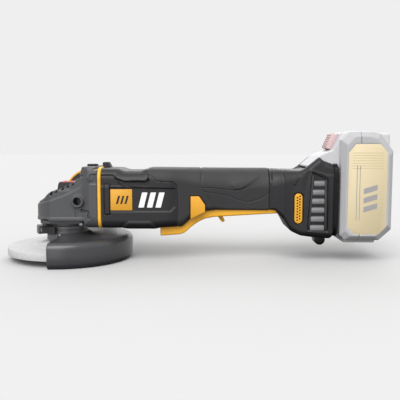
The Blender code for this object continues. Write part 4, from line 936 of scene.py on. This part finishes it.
def make_guard():
    r, t, top = 70.3, 2.0, 17.3
    outside = [(22.2, 20.2), (23.6, 20.1), (25.2, 19.4), (27.2, 18.3), (29.5, 17.9), (40, 17.55), (52, 17.4)]
    outside += arc((r - 6, top - 6), 6, 86, 0, 12)
    outside += [(r + 0.05, 4), (r, -3.2), (r - 0.35, -4.6), (r - 1.2, -6.3), (r - 2.2, -7.8), (r - 2.9, -8.3)]
    inside = [(r - 3.7, -7.9), (r - 3.5, -6.9), (r - 2.6, -5.2), (r - t, -3.0)]
    inside += arc((r - 6, top - 6), 6 - t, 0, 86, 9)
    inside += [(52, 15.4), (40, 15.55), (29, 15.9), (26.4, 16.6), (24, 17.9), (22.2, 18.0)]
    loops = []
    steps = 180
    for i in range(steps + 1):
        a = math.radians(-94 + 188 * i / steps)
        loops.append([(*polar(q, a), z) for q, z in outside + inside])
    guard = loft("guard_bowl", loops, "guard", angle=48)
    bevelled(guard, 0.25, 2, 60)
    keep_on("guard", guard, "guard_shell", slot="guard_black")


def make_collar():
    """Split clamp band with an ear on each side of its split, and the index tab under it."""
    gap, ear = 3.0, 11.0
    start, end = CLAMP_ANGLE + gap, CLAMP_ANGLE + 360 - gap
    angles = np.concatenate([
        np.linspace(start, start + ear, 6), np.linspace(start + ear + 0.6, end - ear - 0.6, 110),
        np.linspace(end - ear, end, 6),
    ])
    loops = []
    for angle in angles:
        eared = angle <= start + ear or angle >= end - ear
        reach = 32.4 if eared else 21.8
        waist = reach - (0 if eared else 0.35)
        section = [
            (19.9, 19.0), (reach - 0.5, 19.0), (reach, 19.5), (reach, 22.4), (waist, 22.8), (waist, 23.8),
            (reach, 24.2), (reach, 27.0), (reach - 0.5, 27.5), (19.9, 27.5),
        ]
        loops.append([(*polar(q, math.radians(angle)), z) for q, z in section])
    collar = loft("clamp_collar", loops, "guard", angle=40)
    near, far = math.radians(246.5), math.radians(249.5)
    hole = [polar(20.6, near), polar(24, near), polar(24, far), polar(20.6, far)]
    carve(collar, [clamp_bar("bore", 1.9, -20, 20), prism("window", hole, "Z", 22.3, 24.8)], angle=40)
    keep_on("guard", collar, "guard_collar", slot="guard_black")
    sector = arc((0, 0), 20.5, 219, 256, 18) + arc((0, 0), 24.0, 256, 219, 18)
    tab = bevelled(prism("index_tab", sector, "Z", 12.6, 19.4, "guard"), 0.5, 2)
    keep_on("guard", tab, slot="guard_black")
    bolt = clamp_bar("clamp_bolt", 1.6, -8.6, 6.6, "bright")
    carve(bolt, [clamp_bar("head", 2.9, 6.0, 8.2)], "UNION")
    keep_on("guard", bolt, "clamp_screw", slot="steel")


def clamp_bar(name, radius, low, high, skin=None, steps=32):
    """Cylinder along the clamp screw's line, across the split of the collar."""
    angle = math.radians(CLAMP_ANGLE)
    out, across = Vector((*polar(1, angle), 0)), Vector((*polar(1, angle + math.pi / 2), 0))
    middle = Vector((*polar(26.3, angle), 23.2))
    loops = []
    for reach in (low, high):
        loops.append([])
        for i in range(steps):
            away, up = polar(radius, 2 * math.pi * i / steps)
            loops[-1].append(tuple(middle + across * reach + out * away + Vector((0, 0, up))))
    return loft(name, loops, skin)


def make_clamp_lever():
    inner = arc((0, 0), 22.3, 219.5, 252, 24)
    outer = arc((0, 0), 25.8, 252, 228, 18)
    heel = arc((0, 0), 29.8, 223.5, 219, 4)
    lever = prism("clamp_lever", inner + outer + heel, "Z", 19.6, 27.0, "rubber")
    tab = arc((0, 0), 22.3, 232, 240, 6) + arc((0, 0), 25.6, 240, 232, 6)
    carve(lever, [prism("tab", tab, "Z", 19.0, 20.4)], "UNION")
    cast(lever, 0.3, 3)
    keep_on("clamp_lever", lever, "guard_clamp_lever", slot="rubber_black")


def make_disc():
    profile = [
        (11.2, 6.8), (22.2, 6.8), (23.4, 6.4), (33.2, -1.6), (34.6, -2.0), (61.6, -2.0), (62.3, -1.7),
        (62.5, -1.0), (62.5, 5.0), (62.3, 5.7), (61.6, 6.0), (37.6, 6.0), (36.4, 6.2), (25.2, 9.6),
        (24.2, 9.8), (11.2, 9.8),
    ]
    disc = turned("abrasive_disc", profile, "disc_face", steps=160, angle=40)

    def on_grit(centre, _normal):
        return centre.xy.length > 62.0 or centre.z < 0

    second_skin(disc, "disc_grit", on_grit)
    keep_on("spindle", disc, "grinding_disc", slot="disc_grey")
    profile = [(10.9, 6.55), (13.4, 6.55), (13.4, 6.78), (11.15, 6.78), (11.15, 9.8), (10.9, 9.8)]
    keep_on("spindle", turned("disc_bore_ring", profile, "bright"), slot="steel")
    profile = [
        (7.3, 10.1), (19.6, 10.1), (20, 10.5), (20, 12.1), (19.4, 12.6), (12.4, 13.8), (11.8, 14.0),
        (7.3, 14.0),
    ]
    keep_on("spindle", turned("disc_flange", profile, "dark_steel"), "inner_flange", slot="dark_steel")
    profile = [(7.3, 1.4), (19.0, 1.4), (19.8, 1.8), (20, 2.4), (20, 6.3), (19.8, 6.5), (7.3, 6.5)]
    nut = turned("disc_nut", profile, "dark_steel")
    carve(nut, [rod("hole", 2.1, (*polar(14.5, a), 0), "Z", 4.4) for a in (0, math.pi)])
    keep_on("spindle", nut, "clamp_nut", slot="dark_steel")


# ---- paddle ---------------------------------------------


def make_paddle():
    top, low = smooth_line(PADDLE_TOP, 0.9), smooth_line(PADDLE_LOW, 1.6)
    front = 102.2
    places = np.concatenate([[front, 102.5, 103.0, 103.8, 104.6, 104.7], np.linspace(105.4, 226.6, 180)])
    half, wall, hidden = 18.0, 2.2, 2.0
    loops = []
    for at in places:
        nose = max(0.0, 1 - (at - front) / 1.2)
        pull = 1.1 * nose * nose
        z0, z1 = float(low(at)) + pull, float(top(at)) + hidden
        floor = z1 - 0.4 if at <= 104.6 else z0 + wall
        w = half - pull * 0.8
        corner = arc((w - 1.8, z0 + 1.8), 1.8, 0, -90, 6)
        right = [(w, z1)] + corner
        left = [(-y, z) for y, z in reversed(right)]
        inside = [(-(w - wall), z1), (-(w - wall), floor), (w - wall, floor), (w - wall, z1)]
        loops.append([(at, y, z) for y, z in right + left + inside])
    # paddle skin: yellow painted brighter to offset the body's shade
    paddle = loft("paddle_shell", loops, "paddle", angle=38)
    tools = [
        rod("bore", 2.3, (PADDLE_PIVOT[0], -30, PADDLE_PIVOT[1]), "Y", 60),
        block("slot", (160.3, -5.2, 30), (172.2, 5.2, 41.6)),
        rod("pin", 1.4, (LOCK_OFF_PIVOT[0], -17.5, LOCK_OFF_PIVOT[1]), "Y", 35, steps=16),
    ]
    carve(paddle, tools, angle=38)
    keep_on("paddle", paddle, "paddle", slot="yellow")
    outline = rounded([(160.9, 43.4), (165.1, 43.4), (171.2, 31.2), (168.2, 29.5), (160.9, 39.6)], 0.8, 4)
    # the lock-off tab takes the same brightened yellow, painted light against the shade under the body
    lever = prism("lock_off_tab", outline, "Y", -4.7, 4.7, "paddle")
    carve(lever, [rod("bore", 1.4, (LOCK_OFF_PIVOT[0], -8, LOCK_OFF_PIVOT[1]), "Y", 16, steps=16)])
    bevelled(lever, 0.35, 2)
    keep_on("lock_off", lever, "lock_off_lever", slot="yellow")


def make_bumper():
    outline = arc((273.4, 11.2), 5.7, 180, 360, 24) + [(279.1, 15.0), (267.7, 15.9)]
    bumper = bevelled(prism("bumper_bar", outline, "Y", -8, 8, "gloss"), 0.9, 3)
    keep_on("body", bumper, "rear_bumper", slot="rubber_black")


# ---- battery --------------------------------------------

PACK = [
    (288.3, 20), (293, 14.6), (329, 14.6), (341.6, 26), (341.6, 107), (329, 124.4), (320, 126.6),
    (296, 126.6), (288.3, 118),
]
PACK_MIDDLE = (314.0, 69.0)
PACK_LABEL = [
    (294.9, 29.5), (302.6, 21.3), (327.2, 21.3), (334.6, 29.5), (334.6, 105.2), (327.0, 113.9),
    (302.2, 113.9), (294.9, 105.2),
]
PACK_RAMP = [
    (256.4, 89.4), (294, 89.4), (294, 125.4), (290.5, 125.2), (281.6, 107.6), (272.4, 104.2), (268.0, 101.6),
    (255.6, 91.2),
]
RAIL_SLOT = [
    (280, -11.6), (290.3, -11.6), (290.3, -15.6), (293.2, -15.6), (293.2, 15.6), (290.3, 15.6), (290.3, 11.6),
    (280, 11.6),
]
SLOPE = math.atan2(18.8, 8.1)
SPLIT = 307.5


def pack_outline(amount):
    """Side outline of the battery, moved inwards."""
    cx, cz = PACK_MIDDLE
    made = []
    for x, z in PACK:
        dx = math.copysign(min(amount, abs(x - cx)), x - cx)
        made.append((x - dx, z - math.copysign(amount, z - cz)))
    return made


def pack_block(name):
    """The whole battery with its bevelled cheeks, before it is hollowed and split."""
    half = [(-37.0, 5.2), (-36.6, 4.7), (-32.6, 0.5), (-31.8, 0.1)]
    stations = half + [(-y, inset) for y, inset in reversed(half)]
    return loft(name, [[(x, y, z) for x, z in pack_outline(inset)] for y, inset in stations])


def on_ramp(along, above):
    """Point in the plane of the battery's side, from the middle of its button's face."""
    x = BUTTON_AT[0] + math.cos(SLOPE) * along - math.sin(SLOPE) * above
    return x, BUTTON_AT[1] + math.sin(SLOPE) * along + math.cos(SLOPE) * above


def button_room(length, out, deep):
    return [on_ramp(*corner) for corner in box(-length / 2, out, length / 2, -deep)]


def make_pack_shell(name, node, parts, tools, low, high):
    """One of the battery's two shells: what lies between two places along x."""
    shell = pack_block(name)
    rib = rounded([(298, 120), (322, 120), (320, 127.6), (301, 127.6)], 1.5, 4)
    parts = [bevelled(block("foot", (294, -25, 11), (327, 25, 20.5)), 0.8, 2)] + parts
    parts += [bevelled(prism("top_rib", rib, "Y", *span(side, 8, 15)), 0.7, 2) for _, side in SIDES]
    carve(shell, parts, "UNION")
    cavity = [(295.4, 22), (335, 22), (338.6, 27), (338.6, 106.2), (328, 121), (295.4, 121)]
    tools = [prism("cavity", cavity, "Y", -31, 31)] + tools
    for _, side in SIDES:
        tools.append(prism("label_recess", grown(PACK_LABEL, 0.3), "Y", *span(side, 36.2, 40)))
    carve(shell, tools)
    carve(shell, [block("half", (low, -60, -20), (high, 60, 200))], "INTERSECT")
    cast(shell, 0.7, 2)
    shell.data.materials.clear()
    shell.data.materials.append(SKIN["pack"])

    def on_cheek(centre, normal):
        return abs(normal.y) > 0.2 and abs(centre.y) > 32.4 and centre.x > 287.5

    second_skin(shell, "pack_edge", on_cheek)
    keep_on("battery", shell, node, slot="battery_grey")


def make_pack_label(label, side):
    """Label with plain lines, two thin bars and three slanted stripes."""
    near, far = 36.7, 36.82
    panel = bevelled(plate(f"pack_label_{label}", PACK_LABEL, side, 35.9, 36.75, "label"), 0.3, 2)
    keep_on("battery", panel, slot="battery_grey")
    for k in range(7):
        z = 104.5 - 2.6 * k
        outline = box(299, z, 330.5, z + 0.7)
        line = plate(f"pack_line_{label}_{k + 1}", outline, side, near, far, "label_line")
        keep_on("battery", line, slot="battery_grey")
    for k in range(3):
        z = 44.0 + 9.4 * k
        mark = rounded([(311, z), (325, z + 4.2), (325, z + 9.8), (311, z + 5.6)], 0.6, 3)
        stripe = plate(f"pack_stripe_{label}_{k + 1}", mark, side, near, far, "ink")
        keep_on("battery", stripe, slot="battery_grey")
    for k, x in enumerate((303.5, 306.6)):
        bar = plate(f"pack_bar_{label}_{k + 1}", box(x, 36, x + 0.7, 92), side, near, far, "ink")
        keep_on("battery", bar, slot="battery_grey")


def make_battery():
    nose = bevelled(prism("nose", PACK_RAMP, "Y", -23.8, 23.8), 0.5, 2)
    openings = [
        prism("rail_slot", RAIL_SLOT, "Z", 0, 86.6),
        prism("pocket", button_room(17.8, 12, 10.4), "Y", -11.4, 11.4),
    ]
    make_pack_shell("pack_front_shell", "battery_case", [nose], openings, 200, SPLIT)
    spine = bevelled(block("spine", (328, -16, 110), (343.4, 16, 125.4)), 2.0, 3)
    make_pack_shell("pack_rear_shell", "battery_cover", [spine], [], SPLIT + 0.3, 400)
    for label, side in SIDES:
        make_pack_label(label, side)
    button = bevelled(prism("release_button", button_room(17, 0, 7), "Y", -11, 11, "release"), 0.8, 3)
    keep_on("battery_release", button, "battery_release_button", slot="release_pink")
    for k in range(6):
        s = -6.0 + 2.4 * k
        corners = ((-0.7, -0.4), (0.7, -0.4), (0.45, 0.7), (-0.45, 0.7))
        profile = [on_ramp(s + along, above) for along, above in corners]
        rib = bevelled(prism(f"release_rib_{k + 1}", profile, "Y", -9, 9, "release"), 0.2, 2)
        keep_on("battery_release", rib, slot="release_pink")


# ---- side handle ----------------------------------------


def make_side_handle():
    centre = (HANDLE_X, 0, HANDLE_Z)
    core = [
        (4.1, 33.3), (9.2, 33.3), (9.5, 33.6), (11, 40), (13.5, 45.6), (15, 46.0), (28.6, 46.0), (29.3, 46.6),
        (29.3, 49.2), (28.6, 49.7), (16, 50.6), (11.6, 52.0), (11.6, 150.3), (16.0, 150.3), (16.6, 151),
        (16.6, 154.4), (15.6, 156.8), (13.2, 158.4), (12, 158.5), (4.1, 158.5),
    ]
    made = turned("side_handle_core", core, "housing", centre, "Y")
    keep_on("body", made, "handle_core", slot="housing_black")
    rim = [
        (29.6, 45.8), (30.9, 45.8), (31.4, 46.2), (31.5, 46.9), (31.5, 49.4), (31.1, 50.0), (30.4, 50.2),
        (29.6, 50.2),
    ]
    made = turned("side_handle_rim", rim, "yellow", centre, "Y")
    keep_on("body", made, "handle_rim", slot="yellow")


def make_handle_grip():
    """Sleeve with a swollen middle, flutes along it and rings across them."""
    start, end, bore, steps = 52.4, 150.0, 11.9, 120
    line = (
        (start, 17.0), (54.5, 18.3), (57, 18.0), (64, 15.9), (84, 15.2), (104, 15.6), (120, 16.3),
        (138, 15.5), (146.5, 17.3), (end, 17.0),
    )
    radius = smooth_line(line, 1.2)
    angles = np.linspace(0, 2 * math.pi, steps, endpoint=False)
    loops = []
    for y in np.linspace(start, end, 150):
        edge = min(1.0, (y - start) / 1.2, (end - y) / 1.2)
        r = float(radius(y)) - 1.0 * (1 - max(edge, 0)) ** 2
        ridged = np.clip(min((y - 66) / 3, (139 - y) / 3), 0, 1)
        r -= 0.5 * ridged * (abs((y - 66) % 9.0 - 4.5) < 0.6)
        reach = r + 0.45 * ridged * np.clip(np.sin(angles * 12) * 3, -1, 1)
        loops.append(handle_loop(y, reach, angles))
    loops += [handle_loop(y, np.full(steps, bore), angles) for y in (end, start)]
    grip = loft("side_handle_grip", loops, "grip", capped=False, angle=50)
    keep_on("body", grip, "handle_grip", slot="rubber_black")


def handle_loop(y, reach, angles):
    return [(HANDLE_X + r * math.cos(a), y, HANDLE_Z + r * math.sin(a)) for r, a in zip(reach, angles)]


# ---- what the CAD pieces are made of --------------------

CAD_SKINS = {
    "steel": ("spindle", "spindle_bearing_lower", "spindle_bearing_upper", "spindle_lock_pin"),
    "steel_x": ("rotor_shaft", "motor_bearing_front", "motor_bearing_rear"),
    "dark_steel": ("crown_gear", "pinion_gear", "rotor_core", "stator_core"),
    "aluminium": ("motor_end_bell", "controller_module", "battery_cells"),
    "bright": ("spindle_lock_spring", "paddle_spring", "paddle_pin", "lock_off_pin", "handle_stud"),
    "rubber": ("cooling_fan", "switch_block", "terminal_block", "battery_receiver"),
    "copper": ("stator_windings",),
}


def dress_cad_nodes():
    for skin, names in CAD_SKINS.items():
        for name in names:
            mesh = nodes[name].data
            mesh.materials.clear()
            mesh.materials.append(SKIN[skin])


# ---- studio ---------------------------------------------


PALE = 0.863  # radiance of the backdrop and of the lit floor
SUNS = (  # name, direction that it shines from, strength, angular size
    ("key", (-0.2, -0.9, 1.0), 2.3, 50),
    ("front_low", (-0.2, -1.0, 0.15), 0.45, 40),
    ("back", (0.2, 1.0, 0.7), 0.9, 50),
)


def make_floor():
    lowest, reach = cad_box[0][2] / MM - 0.1, 9000
    corners = [(x, y, lowest) for x, y in box(-reach, -reach, reach, reach)]
    floor = add_piece("studio_floor", corners, [(0, 1, 2, 3)], "floor")
    floor.visible_diffuse = False  # no light comes back from the floor
    floor.visible_glossy = False


def make_light():
    world = bpy.data.worlds.new("studio")
    bpy.context.scene.world = world
    world.use_nodes = True
    tree = world.node_tree
    place = shader_node(tree, "TexCoord").outputs["Generated"]
    height = shader_node(tree, "SeparateXYZ", Vector=place).outputs["Z"]
    dome = shader_node(  # pale down to the horizon, dark below it
        tree, "MapRange", ("interpolation_type", "SMOOTHSTEP"), Value=height, From_Min=-0.5, From_Max=-0.02,
        To_Min=0.03, To_Max=PALE,
    )
    feed(tree.nodes["Background"], Color=dome.outputs["Result"])
    bpy.context.scene.view_settings.view_transform = "Standard"
    for name, source, power, spread in SUNS:
        data = bpy.data.lights.new(name, "SUN")
        data.energy = power
        data.angle = math.radians(spread)
        made = bpy.data.objects.new(name, data)
        made.rotation_euler = Vector(source).to_track_quat("Z", "Y").to_euler()
        bpy.context.scene.collection.objects.link(made)


def make_camera():
    lens = bpy.data.cameras.new("photo_view")
    lens.lens = CAMERA_LENS
    lens.sensor_width = 36
    lens.clip_end = 100
    camera = bpy.data.objects.new("photo_view", lens)
    camera.location = CAMERA_AT
    camera.rotation_euler = (math.pi / 2 - CAMERA_DIP, 0, 0)
    bpy.context.scene.collection.objects.link(camera)
    bpy.context.scene.camera = camera


make_floor()
make_light()
make_camera()
for side_name, side_sign in SIDES:
    make_body(side_name, side_sign)
    make_insert(side_name, side_sign)
    make_air_inlet(side_name, side_sign)
    make_vent(side_name, side_sign)
    make_marks(side_name, side_sign)
make_edge_strip()
make_housing_screws()
make_gear_case()
make_case_screws()
make_bearing_cap()
make_ring()
make_spindle_lock()
make_plug()
make_guard()
make_collar()
make_clamp_lever()
make_disc()
make_paddle()
make_bumper()
make_battery()
make_side_handle()
make_handle_grip()
dress_cad_nodes()
